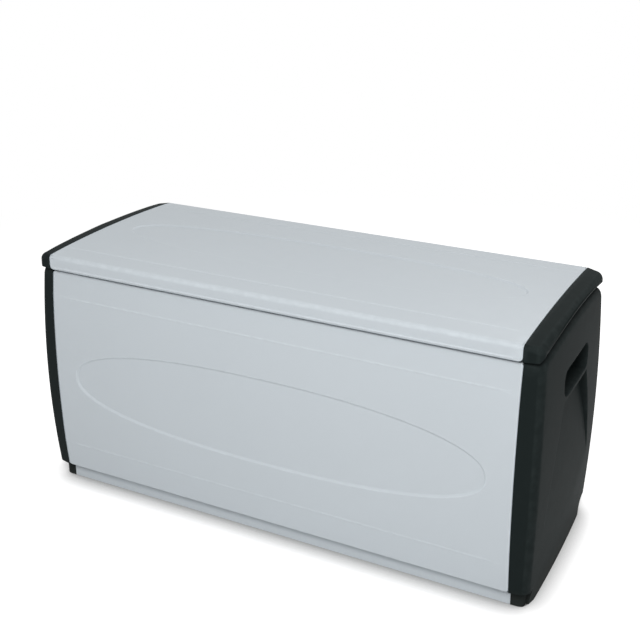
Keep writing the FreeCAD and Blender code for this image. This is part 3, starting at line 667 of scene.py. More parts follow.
@dataclass(frozen=True)
class MouldedPlastic:
    """Injection-moulded plastic: eroded grain, faint flow marks, scuffed rims and dust low down.

    Attributes:
        slot: The record's material slot, and the material's name.
        colour: Its screen colour.
        roughness: How dull it is.
        specular: Strength of its reflections, 0.5 for clear plastic.
        grain: Height of the grain's bumps, in metres.
        mottle: How far the colour drifts.
        rim_lift: How much lighter its rims are painted, as scuffed wear and a painted edge highlight.
        patchy: How far its dullness varies.
        flow_waves: Waves per metre of the flow marks, and below of the scuffed and painted-highlight
            patches on the rims, dust, dullness and grain.
        dust: Screen colour of the dust.
        dust_height: How high the dust lies, in metres.
        dust_share: How much of the colour it takes at the foot.
    """

    slot: str
    colour: tuple[int, int, int]
    roughness: float
    specular: float
    grain: float
    mottle: float
    rim_lift: float
    patchy: float = 0.03
    flow_waves: float = 3.0
    scuff_waves: float = 60.0
    dust_waves: float = 22.0
    dull_waves: float = 35.0
    grain_waves: float = 1400.0
    dust: tuple[int, int, int] = (150, 146, 138)
    dust_height: float = 0.05
    dust_share: float = 0.08

    def tone(self, gain: float, lift: float = 0.0) -> Colour:
        """Its colour made so much lighter or darker."""
        return (*(min(1.0, channel * gain + lift) for channel in linear(*self.colour)[:3]), 1.0)

    def material(self) -> Material:
        """Builds the material: drift of the colour, rims lightened by scuffing and a painted edge
        highlight, dust, patches of dullness, grain.
        """
        material, wires, shader = fresh_material(self.slot)
        links = material.node_tree.links
        shader.inputs["Specular IOR Level"].default_value = self.specular
        place = wires.place()

        flow = wires.noise(place, self.flow_waves, 2.0)
        body = wires.blend(flow, self.tone(1 - self.mottle), self.tone(1 + self.mottle))

        # Painted edge highlight together with scuffed wear: the convex rims are mixed, in patches,
        # towards a lighter tone.
        rim = wires.add("ShaderNodeAttribute", {}, attribute_name="rim").outputs["Fac"]
        scuff_and_highlight_patches = wires.ranged(wires.noise(place, self.scuff_waves, 6.0), (0.35, 0.75), (0.25, 1.0))
        lighter = self.tone(1 + self.rim_lift, 0.012 * self.rim_lift)
        worn_and_highlit = wires.blend(wires.maths("MULTIPLY", rim, scuff_and_highlight_patches), body, lighter)

        height = wires.add("ShaderNodeSeparateXYZ", {"Vector": place}).outputs["Z"]
        low = wires.ranged(height, (0.0, self.dust_height), (self.dust_share, 0.0))
        cloud = wires.noise(place, self.dust_waves, 5.0)
        dusty = wires.blend(wires.maths("MULTIPLY", low, cloud), worn_and_highlit, linear(*self.dust))
        links.new(dusty, shader.inputs["Base Color"])

        dull = wires.noise(place, self.dull_waves, 4.0)
        span = (self.roughness - self.patchy, self.roughness + self.patchy)
        links.new(wires.ranged(dull, (0.3, 0.7), span), shader.inputs["Roughness"])

        grain = wires.noise(place, self.grain_waves, 3.0)
        bump = wires.add("ShaderNodeBump", {"Distance": self.grain, "Strength": 0.5, "Height": grain})
        links.new(bump.outputs["Normal"], shader.inputs["Normal"])
        return material


@dataclass(frozen=True)
class ZincSteel:
    """Zinc-plated steel, a little blotchy.

    Attributes:
        slot: The record's material slot, and the material's name.
        dark: Screen colour of its darker blotches.
        light: Screen colour of its lighter ones.
        dull: Its least and most roughness.
        waves: Blotches per metre.
    """

    slot: str = "zinc_steel"
    dark: tuple[int, int, int] = (150, 152, 156)
    light: tuple[int, int, int] = (205, 206, 208)
    dull: Flat = (0.22, 0.42)
    waves: float = 120.0

    def material(self) -> Material:
        """Builds the material: blotches of tone and of dullness."""
        material, wires, shader = fresh_material(self.slot)
        links = material.node_tree.links
        shader.inputs["Metallic"].default_value = 1.0
        cloud = wires.noise(wires.place(), self.waves, 2.0)
        tone = wires.add("ShaderNodeValToRGB", {"Fac": cloud})
        for element, colour in zip(tone.color_ramp.elements, (self.dark, self.light)):
            element.color = linear(*colour)
        links.new(tone.outputs["Color"], shader.inputs["Base Color"])
        links.new(wires.ranged(cloud, (0.0, 1.0), self.dull), shader.inputs["Roughness"])
        return material


Finish = MouldedPlastic | ZincSteel

# The seventh number lightens the convex rims: scuffed wear and a painted edge highlight, strongest on
# the black plastic.
PALE_GREY = MouldedPlastic("pale_grey_plastic", (194, 201, 206), 0.45, 0.16, 0.05 * MM, 0.02, 0.12)
FLOOR_GREY = MouldedPlastic("floor_grey_plastic", (150, 156, 160), 0.5, 0.35, 0.06 * MM, 0.03, 0.1)
BLACK = MouldedPlastic("black_plastic", (28, 34, 34), 0.58, 0.02, 0.05 * MM, 0.02, 0.5, 0.008)
STAY_GREY = MouldedPlastic("stay_plastic", (45, 48, 50), 0.35, 0.5, 0.02 * MM, 0.04, 0.6)
RUBBER = MouldedPlastic("buffer_rubber", (34, 35, 36), 0.75, 0.2, 0.03 * MM, 0.05, 0.4)
ZINC = ZincSteel()


@dataclass
class Paint:
    """The materials of all finishes, each built once."""

    made: dict[str, Material] = field(default_factory=dict)

    def of(self, finish: Finish) -> Material:
        """Gives a finish's material.

        Args:
            finish: The finish.

        Returns:
            Its material, made the first time it is asked for.
        """
        if finish.slot not in self.made:
            self.made[finish.slot] = finish.material()
        return self.made[finish.slot]

    def finished(self, name: str, mesh: Mesh, finish: Finish, body: Body, *nodes: str) -> Piece:
        """Makes a mesh a piece on its body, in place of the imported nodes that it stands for."""
        return settle(as_object(name, mesh, self.of(finish)), body, finish, *nodes)


def settle(piece: Piece, body: Body, finish: Finish,
           *nodes: str) -> Piece:
    """Puts a finished piece on its body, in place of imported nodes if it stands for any.

    Args:
        piece: The piece.
        body: The body that it rides on.
        finish: Its finish.
        nodes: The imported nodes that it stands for.

    Returns:
        The piece.
    """
    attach(piece, body.value)
    if nodes:
        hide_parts(*nodes)
    LOG.info("%s: %d faces, rides on %s", piece.name, len(piece.data.polygons), body.value)
    return piece


@dataclass
class SunkOval:
    """A shallow blunt oval with a bevelled edge.

    Attributes:
        half_length: Half axis along the chest.
        half_height: Half axis across.
        depth: How far it is sunk.
        bevel: Width of its edge.
        power: Bluntness of its ends, 2 for an ellipse.
        count: Points round each ring.
        edge: The edge's rings: places across its half width, and shares of the depth there.
    """

    half_length: float
    half_height: float
    depth: float
    bevel: float = 6.5 * MM
    power: float = 2.3
    count: int = 560
    edge: tuple[Flat, ...] = ((1.5, 0.0), (1.0, 0.0), (0.75, 0.04), (0.5, 0.16), (0.2, 0.37),
                              (-0.2, 0.63), (-0.5, 0.84), (-0.75, 0.96), (-1.0, 1.0), (-1.5, 1.0))

    def panel(self, pattern: Pattern, section: Section, half_length: float, step: float) -> Mesh:
        """Adds the oval in the middle of a panel's pattern, fills the pattern and meshes it.

        Args:
            pattern: The panel's lines so far.
            section: The section that the panel is laid over.
            half_length: Half the panel's length.
            step: Distance between the points that fill it.

        Returns:
            The panel's mesh.
        """
        middle = section.length / 2

        def sink(u: float, v: float) -> float:
            """How far a place away from the edge is sunk."""
            across, up = abs(u) / self.half_length, abs(v - middle) / self.half_height
            return self.depth if across ** self.power + up ** self.power < 1 else 0.0

        for place, share in self.edge:
            offset = place * self.bevel / 2
            ring = oval((0.0, middle), self.half_length, self.half_height, self.power, offset,
                        self.count)
            pattern.line(ring, share * self.depth)
        pattern.fill((-half_length, 0.0), (half_length, section.length), step, step * 0.4, sink)
        return pattern.laid(section.lay)


@dataclass
class LongPanel:
    """The front or back panel: a belly between two flat bands, with a sunk oval.

    Attributes:
        node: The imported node.
        front: -1 for the front panel, 1 for the back one.
        paint: Materials.
    """

    node: str
    front: int
    paint: Paint
    half_length: float = 549.7 * MM
    face: float = 230 * MM
    band_out: float = 7 * MM
    belly: float = 14 * MM
    bottom: float = 40 * MM
    band_low: float = 107 * MM
    band_high: float = 481 * MM
    top: float = 540 * MM
    edge_round: float = 3 * MM
    corner: float = 7 * MM
    line_half: float = 2.2 * MM
    line_out: float = 0.5 * MM
    line_short: float = 26 * MM
    step: float = 22 * MM
    oval: SunkOval = field(default_factory=lambda: SunkOval(493 * MM, 99 * MM, 3.1 * MM))

    def section(self) -> Section:
        """The outer side from its foot to its top edge, as seen at the front."""
        band = -(self.face + self.band_out)
        middle = (self.band_low + self.band_high) / 2
        return Section((
            Stretch((-self.face, self.bottom), (band, self.band_low)),
            Stretch((band, self.band_low), (band, self.band_high), (-(self.face + self.belly), middle)),
            Stretch((band, self.band_high), (-self.face, self.top))))

    def skin(self) -> Mesh:
        """Meshes the outer side with its rounded rims, at the front of the chest."""
        section = self.section()
        height = section.length
        pattern = Pattern()
        for inset, sink in rolled(self.edge_round):
            ring = rounded_rectangle(self.half_length, height, inset, self.corner, self.step)
            pattern.line(ring, sink)
        for along in section.breaks:
            for shift, out in ridge(self.line_half, self.line_out):
                pattern.raised(self.half_length - self.line_short, along + shift, out, self.step)
        mesh = self.oval.panel(pattern, section, self.half_length, self.step)
        facing_out(mesh, lambda at: Vector((0, -1, 0)))
        return mark_rims(mesh)

    def is_outer(self, middle: Vector, normal: Vector) -> bool:
        """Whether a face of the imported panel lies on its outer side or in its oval.

        Args:
            middle: The face's middle.
            normal: Its normal.

        Returns:
            True where the skin stands for it.
        """
        if abs(middle.x) > self.half_length - MM or not self.bottom < middle.z < self.top:
            return False
        if normal.y * self.front < -0.3 or abs(middle.y) < self.face - self.edge_round:
            return False
        depth = -self.section().crossing(middle.z, 1).x - abs(middle.y)
        return depth < self.oval.depth + PACKED_MARGIN

    def build(self, node: Piece) -> Piece:
        """Builds and settles the panel.

        Args:
            node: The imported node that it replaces.

        Returns:
            The piece.
        """
        mesh = self.skin()
        if self.front > 0:
            bmesh.ops.scale(mesh, vec=(1, -1, 1), verts=mesh.verts)
            facing_out(mesh, lambda at: Vector((0, 1, 0)))
        inner = inner_copy(node, self.is_outer)
        ends = (-self.half_length, self.half_length)
        levels = ((self.bottom, 1), (self.top, -1))
        clip_corners(inner, [(x, z, up) for x in ends for z, up in levels], self.corner)
        join(mesh, inner)
        return self.paint.finished(f"{self.node}_moulding", mesh, PALE_GREY, Body.CHEST, self.node)


@dataclass(frozen=True)
class LidForm:
    """The section that the lid and its caps share."""

    half_depth: float = 239 * MM
    bottom: float = 545 * MM
    shoulder: float = 569.5 * MM
    turn: float = 9 * MM
    crease_half: float = 183 * MM
    crease_height: float = 581.5 * MM
    crown: float = 586 * MM

    def section(self, setback: float = 0.0, drop: float = 0.0, growth: float = 0.0) -> Section:
        """The outer side from the front foot over the top to the rear foot.

        Args:
            setback: How far its sides stand back.
            drop: How far its top lies down.
            growth: How much wider its corners turn.

        Returns:
            The section.
        """
        edge, turn = self.half_depth - setback, self.turn + growth
        inner, bend = edge - turn, turn * math.sqrt(0.5)
        top = self.shoulder - drop + self.turn
        shoulder, crease = top - turn, self.crease_height - drop
        return Section((
            Stretch((-edge, self.bottom), (-edge, shoulder)),
            Stretch((-edge, shoulder), (-inner, top), (-inner - bend, shoulder + bend)),
            Stretch((-inner, top), (-self.crease_half, crease)),
            Stretch((-self.crease_half, crease), (self.crease_half, crease), (0.0, self.crown - drop)),
            Stretch((self.crease_half, crease), (inner, top)),
            Stretch((inner, top), (edge, shoulder), (inner + bend, shoulder + bend)),
            Stretch((edge, shoulder), (edge, self.bottom))))


@dataclass
class LidPanel:
    """The crowned lid with its lips, a crease along the front and rear, and a sunk oval."""

    paint: Paint
    node: str = "lid_panel"
    form: LidForm = field(default_factory=LidForm)
    half_length: float = 549.7 * MM
    bead_height: float = 3.5 * MM
    bead_out: float = 1.6 * MM
    bead_gap: float = 3 * MM
    bead: tuple[Flat, ...] = ((0.3, 0.0), (0.45, 0.6), (0.7, 1.0), (0.95, 0.6), (1.1, 0.0))
    line_half: float = 2.4 * MM
    line_out: float = 0.7 * MM
    line_short: float = 30 * MM
    end_round: float = 1.6 * MM
    corner: float = 8 * MM
    step: float = 22 * MM
    oval: SunkOval = field(default_factory=lambda: SunkOval(484 * MM, 91 * MM, 2.7 * MM))

    def guard_lines(self, breaks: Sequence[float]) -> list[float]:
        """Where lines along the lid keep the shading of its turned edges narrow.

        Args:
            breaks: Where the section's stretches meet.

        Returns:
            How far along the section each line lies.
        """
        front, rear = (breaks[0], breaks[1]), (breaks[4], breaks[5])
        lines = [front[0] - 2 * MM, *front, front[1] + 2 * MM, front[1] + 5 * MM]
        lines += [rear[0] - 5 * MM, rear[0] - 2 * MM, *rear, rear[1] + 2 * MM]
        for start, end in (front, rear):
            lines += spaced(start, end, (end - start) / 8)[1:-1]
        return sorted(lines)

    def skin(self) -> Mesh:
        """Meshes the outer side."""
        section = self.form.section()
        around, breaks = section.length, section.breaks
        pattern = Pattern()
        for inset, sink in rolled(self.end_round, 3):
            ring = rounded_rectangle(self.half_length, around, inset, self.corner, self.step)
            pattern.line(ring, sink)
        clear = self.end_round * 2
        xs = spaced(-self.half_length + clear, self.half_length - clear, self.step)
        for along in self.guard_lines(breaks):
            pattern.line([(x, along) for x in xs], 0.0, closed=False)
        bead_end = self.half_length - self.corner - self.bead_gap
        for share, out in self.bead:
            for foot in (0.0, around):
                along = abs(foot - 2 * self.bead_height * share)
                pattern.raised(bead_end, along, self.bead_out * out, self.step)
        for shift, out in ridge(self.line_half, self.line_out):
            for crease in (breaks[2], breaks[3]):
                pattern.raised(self.half_length - self.line_short, crease + shift, out, self.step)
        mesh = self.oval.panel(pattern, section, self.half_length, self.step)
        facing_out(mesh, lambda at: Vector((0, at.y * 2, at.z - 0.5)))
        return mark_rims(mesh)

    def is_outer(self, middle: Vector, normal: Vector) -> bool:
        """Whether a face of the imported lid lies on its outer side.

        Args:
            middle: The face's middle.
            normal: Its normal.

        Returns:
            True where the skin stands for it.
        """
        form, (_, y, z) = self.form, middle
        inner = form.half_depth - form.turn
        if abs(middle.x) < self.half_length - MM and abs(y) < inner and normal.z > -0.3:
            return form.section().crossing(y, 0).y - z < self.oval.depth + PACKED_MARGIN
        top = normal.z > 0.5 and z > form.shoulder
        lip = abs(normal.y) > 0.3 and normal.y * y > 0 and abs(y) > form.half_depth - 3 * MM
        turned = normal.z > 0.2 and z > form.shoulder and abs(y) > inner
        return abs(normal.x) < 0.9 and z > form.bottom and (top or lip or turned)

    def build(self, node: Piece) -> Piece:
        """Builds and settles the lid.

        Args:
            node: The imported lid.

        Returns:
            The piece.
        """
        inner = inner_copy(node, self.is_outer)
        ends = (-self.half_length, self.half_length)
        clip_corners(inner, [(x, self.form.bottom, 1) for x in ends], self.corner)
        mesh = join(self.skin(), inner)
        return self.paint.finished("lid_moulding", mesh, PALE_GREY, Body.LID, self.node)


def woven(rows: Sequence[Sequence[Vector]]) -> Mesh:
    """Meshes rows of places, with a face between each four neighbours.

    Args:
        rows: The rows, all of one length.

    Returns:
        The mesh.
    """
    mesh = bmesh.new()
    verts = [[mesh.verts.new(place) for place in row] for row in rows]
    for row, following in zip(verts, verts[1:]):
        for i in range(len(row) - 1):
            mesh.faces.new((row[i], row[i + 1], following[i + 1], following[i]))
    return mesh


def to_the_side(mesh: Mesh, side: Side) -> Mesh:
    """Mirrors a skin made for the right-hand end where it belongs to the left-hand one.

    Args:
        mesh: The skin.
        side: Its side.

    Returns:
        The skin.
    """
    if side is Side.LEFT:
        bmesh.ops.scale(mesh, vec=(-1, 1, 1), verts=mesh.verts)
        bmesh.ops.reverse_faces(mesh, faces=mesh.faces)
    return mesh


@dataclass
class EndForm:
    """The bowed space that the end panels and caps fill, at the right-hand end."""

    seam: float = 550 * MM
    half_depth: float = 230 * MM
    belly: float = 14 * MM
    low: float = 40 * MM
    top: float = 541 * MM
    arch_rise: float = 20 * MM
    depth: float = 50 * MM
    plan_bulge: float = 5.5 * MM
    setback: float = 11 * MM

    @property
    def middle(self) -> float:
        """Height of the widest place."""
        return (self.low + self.top) / 2

    @property
    def face_radius(self) -> float:
        """Radius of the bowed outer face."""
        return (self.half_depth ** 2 + self.plan_bulge ** 2) / (2 * self.plan_bulge)

    def face(self, y: float, z: float) -> float:
        """X of the bowed outer face."""
        radius, up = self.face_radius, z - self.middle
        return self.seam + self.depth - radius + math.sqrt(radius * radius - y * y - up * up)

    def face_normal(self, y: float, z: float) -> Vector:
        """Outward normal of the bowed outer face."""
        x = self.face(y, z) - (self.seam + self.depth - self.face_radius)
        return Vector((x, y, z - self.middle)).normalized()

    def tip(self, start: Vector, end: Vector) -> Vector:
        """Where a line from the seam outwards meets the bowed face.

        Args:
            start: The line's place at the seam.
            end: Its place at the full depth.

        Returns:
            The place between the two.
        """
        share = 1.0
        for _ in range(4):
            here = start.lerp(end, share)
            share = (self.face(here.y, here.z) - start.x) / (end.x - start.x)
        return start.lerp(end, share)

    def rim_line(self, ends: Sequence[tuple[Vector, Vector]], number: int, aim: Vector, radius: float,
                 steps: int) -> tuple[list[Vector], Vector, Vector]:
        """One line across the rounded rim, from the bowed face round to the side.

        Args:
            ends: The tip on the bowed face and the start at the seam of each line.
            number: Which of them.
            aim: Roughly the way to the middle of the face.
            radius: Width of the round.
            steps: Number of steps across it.

        Returns:
            Its places, the way along the rim, and the way back to the seam.
        """
        tip, start = ends[number]
        last = len(ends) - 1
        along = (ends[min(number + 1, last)][0] - ends[max(number - 1, 0)][0]).normalized()
        inward = self.face_normal(tip.y, tip.z).cross(along).normalized()
        if inward.dot(aim) < 0:
            inward.negate()
        if number in (0, last):
            inward = Vector((inward.x, inward.y, 0.0)).normalized()
        back = (start - tip).normalized()
        places = [tip + radius * inward * (1 - math.sin(angle)) + radius * back * (1 - math.cos(angle))
                  for angle in spaced(0.0, QUARTER, QUARTER / steps)]
        return places, along, back

    def side(self, x: float, z: float) -> float:
        """Half the depth of the chest's end.

        Args:
            x: Where along the chest.
            z: At which height.

        Returns:
            The distance from the middle to either side.
        """
        half_rise = (self.top - self.low) / 2
        radius = (half_rise ** 2 + self.belly ** 2) / (2 * self.belly)
        bulge = self.belly - radius + math.sqrt(radius * radius - (z - self.middle) ** 2)
        lean = math.atan2(self.setback, self.depth)
        return self.half_depth + bulge / math.cos(lean) - (x - self.seam) * math.tan(lean)

    def arch(self, y: float) -> float:
        """Height of the arched top."""
        radius = (self.half_depth ** 2 + self.arch_rise ** 2) / (2 * self.arch_rise)
        return self.top + self.arch_rise - radius + math.sqrt(radius * radius - y * y)


@dataclass
class EndPanel:
    """A black end panel: bowed face, hand recess, arched top and set-back feet.

    Attributes:
        side: Which end it closes.
        paint: Materials.
        form: The space that it fills.
        corner: How wide its upper corners turn at the seam, and corner_growth more at its face.
        notch: Half the width of the gap between the feet.
        foot_face: X of the feet's outer sides.
        foot_back: How far the copied inner feet are drawn in.
        scoop_faces: X of the scoop's floor at its foot, middle and top.
        pocket_edge: The hand recess's edge, in mm outwards and mm sunk.
        scoop_edge: The scoop's edge, in mm outwards and as a share of its depth.
        packed_floor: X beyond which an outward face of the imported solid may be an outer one. The
            same for its recess, bevels and bowed face follows.
        grown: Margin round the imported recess.
    """

    side: Side
    paint: Paint
    form: EndForm = field(default_factory=EndForm)
    rim: float = 14 * MM
    corner: float = 5 * MM
    corner_growth: float = 17 * MM
    notch: float = 193 * MM
    foot_face: float = 583 * MM
    foot_back: float = 5 * MM
    pocket_half: float = 91 * MM
    pocket_low: float = 413 * MM
    pocket_high: float = 471 * MM
    pocket_sink: float = 30 * MM
    pocket_corner: float = 22 * MM
    scoop_low: float = 78 * MM
    scoop_high: float = 404 * MM
    scoop_low_half: float = 188 * MM
    scoop_high_half: float = 86 * MM
    scoop_swell: float = 10 * MM
    scoop_faces: tuple[float, float, float] = (596 * MM, 593 * MM, 578 * MM)
    pocket_edge: tuple[Flat, ...] = ((3.5, 0.0), (2.5, 0.0), (1.2, 0.35), (0.4, 1.1), (0.0, 2.5),
                                     (-1.4, 27.5), (-2.2, 29.2), (-3.6, 30.0), (-6.0, 30.0))
    scoop_edge: tuple[Flat, ...] = ((3.2, 0.0), (2.0, 0.0), (0.9, 0.06), (0.2, 0.2), (-1.2, 0.85),
                                    (-2.0, 0.97), (-3.2, 1.0), (-5.0, 1.0))
    packed_floor: float = 565 * MM
    packed_pocket: float = 569 * MM
    packed_bevel: float = 575 * MM
    packed_face: float = 582 * MM
    grown: float = PACKED_MARGIN
    step: float = 20 * MM
    rim_steps: int = 8
    side_steps: int = 25
    top_steps: int = 12

    def outline(self, x: float) -> list[Flat]:
        """The section at one X from the rear foot over the top to the front foot.

        Args:
            x: Where the section is taken.

        Returns:
            Points in depth and height. Each one's number means the same place at every X.
        """
        corner_y = self.form.side(x, self.form.top)
        for _ in range(3):
            corner_y = self.form.side(x, self.form.arch(corner_y))
        corner = Vector((corner_y, self.form.arch(corner_y)))
        turn = self.corner + self.corner_growth * (x - self.form.seam) / self.form.depth
        heights = [self.form.low + (corner.y - turn - self.form.low) * i / self.side_steps
                   for i in range(self.side_steps + 1)]
        depths = [(corner.x - turn) * (1 - i / self.top_steps) for i in range(self.top_steps + 1)]
        side_end = Vector((self.form.side(x, heights[-1]), heights[-1]))
        arch_start = Vector((depths[0], self.form.arch(depths[0])))
        half = [(self.form.side(x, z), z) for z in heights[:-1]]
        for angle in spaced(0.0, QUARTER, math.pi / 10):
            half.append(tuple(corner + (side_end - corner) * (1 - math.sin(angle))
                              + (arch_start - corner) * (1 - math.cos(angle))))
        half += [(y, self.form.arch(y)) for y in depths[1:-1]]
        return half + [(0.0, self.form.arch(0.0))] + [(-y, z) for y, z in reversed(half)]

    def foot_step(self, y: float) -> Mesh:
        """Closes the gap between the bowed face and a foot's inner side.

        Args:
            y: The foot's inner edge.

        Returns:
            The closing face.
        """
        back = self.foot_face - 5 * MM
        edge = [self.on_face(y, z, 0.0) for z in spaced(self.form.low, 0.0, self.step)]
        edge += [Vector((back, y, 0.0)), Vector((back, y, self.form.low))]
        mesh = bmesh.new()
        mesh.faces.new([mesh.verts.new(place) for place in edge])
        facing_out(mesh, lambda at: Vector((0, at.y, 0)))
        return mesh

    def skin(self) -> Mesh:
        """Meshes the outer side of the right-hand end panel."""
        form = self.form
        ends = []
        for near, far in zip(self.outline(form.seam), self.outline(form.seam + form.depth)):
            start = Vector((form.seam, *near))
            ends.append((form.tip(start, Vector((form.seam + form.depth, *far))), start))
        inner_rim: list[Flat] = []
        rows = []
        for number, (tip, start) in enumerate(ends):
            aim = Vector((0, -tip.y, form.middle - tip.z))
            row, _, _ = form.rim_line(ends, number, aim, self.rim, self.rim_steps)
            inner_rim.append((row[0].y, row[0].z))
            rows.append(row + [tip.lerp(start, 0.35), tip.lerp(start, 0.7), start])
        mesh = woven(rows)
        face = self.face_pattern(inner_rim).laid(self.on_face)
        facing_out(face, lambda at: Vector((1, 0, 0)))
        facing_out(mesh, lambda at: Vector((0.3, at.y * 3, 0.6 if at.z > form.top - 2 * MM else 0.0)))
        join(mesh, *(self.foot_step(y) for y in (-self.notch, self.notch)), face)
        bmesh.ops.remove_doubles(mesh, verts=mesh.verts, dist=WELD)
        return mark_rims(mesh)

    def on_face(self, y: float, z: float, sink: float) -> Vector:
        """A place on the bowed face, which runs out to the feet's flat sides over them.

        Args:
            y: Its depth.
            z: Its height.
            sink: How far it is sunk along X.

        Returns:
            The place.
        """
        face = self.form.face(y, z)
        if z < self.form.low:
            share = min(max((abs(y) - self.notch) / (20 * MM) + 1.0, 0.0), 1.0)
            face -= share * (1 - z / self.form.low) * (face - self.foot_face - 0.1 * MM)
        return Vector((face - sink, y, z))

    def wedge(self, z: float) -> float:
        """The scoop's floor.

        Args:
            z: A height.

        Returns:
            X of the floor there.
        """
        low, middle, high = self.scoop_faces
        floor = Stretch((self.scoop_low, low), (self.scoop_high, high),
                        ((self.scoop_low + self.scoop_high) / 2, middle))
        centre, radius, _, _ = floor.circle
        return centre.y + math.sqrt(max(radius ** 2 - (z - centre.x) ** 2, 0.0))

    def scoop_sink(self, y: float, z: float) -> float:
        """How far the scoop's floor lies behind the bowed face."""
        return max(0.0, self.form.face(y, z) - self.wedge(min(max(z, self.scoop_low), self.scoop_high)))

    def scoop_outline(self) -> list[Flat]:
        """The scoop's outline, counter-clockwise."""
        middle = (self.scoop_low + self.scoop_high) / 2
        reach = (self.scoop_low_half + self.scoop_high_half) / 2 + self.scoop_swell
        right = Stretch((self.scoop_low_half, self.scoop_low), (self.scoop_high_half, self.scoop_high),
                        (reach, middle))
        rise = [tuple(right.at(share)[0]) for share in spaced(0.0, 1.0, 1 / 40)]
        bottom = [(y, self.scoop_low) for y in spaced(-self.scoop_low_half, self.scoop_low_half, 8 * MM)]
        top = [(y, self.scoop_high) for y in spaced(self.scoop_high_half, -self.scoop_high_half, 6 * MM)]
        return bottom + rise[1:-1] + top + [(-y, z) for y, z in reversed(rise[1:-1])]

    def face_outline(self, inner_rim: Sequence[Flat]) -> list[Flat]:
        """The bowed face's outline: the rounded rim's inner side, closed round the gap between the feet.

        Args:
            inner_rim: Where the rounded rim begins, from the rear foot to the front foot.

        Returns:
            The outline's points.
        """
        low, notch = self.form.low, self.notch
        rear, front = inner_rim[0], inner_rim[-1]
        loop = list(inner_rim)
        loop += [(y, low) for y in spaced(front[0], -notch, self.step)[1:]]
        loop += [(-notch, z) for z in spaced(low, 0.0, self.step)[1:]]
        loop += [(y, 0.0) for y in spaced(-notch, notch, self.step)[1:]]
        loop += [(notch, z) for z in spaced(0.0, low, self.step)[1:]]
        return loop + [(y, low) for y in spaced(notch, rear[0], self.step)[1:-1]]

    def face_pattern(self, inner_rim: Sequence[Flat]) -> Pattern:
        """The flat pattern of the bowed face with its hand recess and scoop.

        Args:
            inner_rim: Where the rounded rim begins, from the rear foot to the front foot.

        Returns:
            The pattern.
        """
        pattern = Pattern()
        pattern.line(self.face_outline(inner_rim), 0.0)
        half, foot, head = self.pocket_half, self.pocket_low, self.pocket_high
        pocket = rounded_loop(((-half, foot), (half, foot), (half, head), (-half, head)),
                              self.pocket_corner, 6 * MM)
        for out, sunk in self.pocket_edge:
            pattern.line(offset_loop(pocket, out * MM), sunk * MM)
        scoop = self.scoop_outline()
        for out, share in self.scoop_edge:
            ring = offset_loop(scoop, out * MM)
            pattern.line(ring, [self.scoop_sink(*place) * share for place in ring])

        def sink(y: float, z: float) -> float | None:
            """How far a place of the face is sunk.

            Args:
                y: Its depth.
                z: Its height.

            Returns:
                The sink, or None off the face.
            """
            if not self.within(y, z):
                return None
            if abs(y) < self.pocket_half and self.pocket_low < z < self.pocket_high:
                return self.pocket_sink
            if self.in_scoop(y, z):
                return self.scoop_sink(y, z)
            return 0.0

        reach = self.form.half_depth + self.form.belly
        pattern.fill((-reach, 0.0), (reach, self.form.top + self.form.arch_rise), self.step * 0.8,
                     self.step * 0.33, sink)
        return pattern

    def in_scoop(self, y: float, z: float) -> bool:
        """Whether a place of the face is within the scoop's outline.

        Args:
            y: Its depth.
            z: Its height.

        Returns:
            True within it.
        """
        if not self.scoop_low < z < self.scoop_high:
            return False
        share = (z - self.scoop_low) / (self.scoop_high - self.scoop_low)
        straight = self.scoop_low_half + (self.scoop_high_half - self.scoop_low_half) * share
        return abs(y) < straight + 4 * self.scoop_swell * share * (1 - share)

    def within(self, y: float, z: float) -> bool:
        """Whether a place lies on the face, clear of its edges.

        Args:
            y: Its depth.
            z: Its height.

        Returns:
            True where it does.
        """
        margin = self.step * 0.3
        if z < self.form.low + margin and abs(y) > self.notch - margin:
            return False
        half = self.form.side(self.form.face(y, z), z) - self.rim - margin
        return abs(y) < half and z < self.form.arch(y) - self.rim - margin and z > margin

    def is_outer(self, middle: Vector, normal: Vector) -> bool:
        """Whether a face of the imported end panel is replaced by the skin.

        Args:
            middle: The face's middle.
            normal: Its normal.

        Returns:
            True where the skin stands for it.
        """
        x, y, z = middle.x * self.side.value, abs(middle.y), middle.z
        out, grown = normal.x * self.side.value, self.grown
        if out > 0.5 and x > self.packed_floor and z > 0:
            over_foot = z < self.form.low and y > self.notch
            in_recess = y < self.scoop_low_half and self.scoop_low < z < self.pocket_high + MM
            return x > self.packed_face and not over_foot or in_recess
        if y < self.pocket_half + grown and self.pocket_low - grown < z < self.pocket_high + grown:
            return x > self.packed_pocket
        if self.scoop_low - grown < z < self.scoop_high + grown and x > self.wedge(z) - grown:
            if self.in_scoop(y - 2 * MM, z) or z > self.scoop_high - grown:
                return y < self.scoop_low_half + grown
        if z < self.form.low + 0.1 * MM:
            return False
        depth_side, depth_arch = self.form.side(x, z) - y, self.form.arch(y) - z
        on_side = depth_side < MM and normal.y * middle.y > 0 and abs(normal.y) > 0.5
        on_top = depth_arch < MM and normal.z > 0.5
        on_bevel = out > 0.3 and x > self.packed_bevel and min(depth_side, depth_arch) < 6 * MM
        return on_side or on_top or on_bevel

    def build(self, node: Piece) -> Piece:
        """Builds and settles the end panel.

        Args:
            node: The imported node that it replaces.

        Returns:
            The piece.
        """
        mesh = to_the_side(self.skin(), self.side)
        inner = inner_copy(node, self.is_outer)
        for vert in inner.verts:
            if vert.co.z < self.form.low + 0.05 * MM:
                if abs(vert.co.x) > self.form.seam + 10 * MM:
                    vert.co.x -= math.copysign(self.foot_back, vert.co.x)
                if abs(vert.co.y) > self.notch - self.foot_back:
                    vert.co.y -= math.copysign(self.foot_back, vert.co.y)
        join(mesh, tuck(inner, mesh))
        name = f"end_panel_{self.side.word}"
        return self.paint.finished(f"{name}_moulding", mesh, BLACK, Body.CHEST, name)


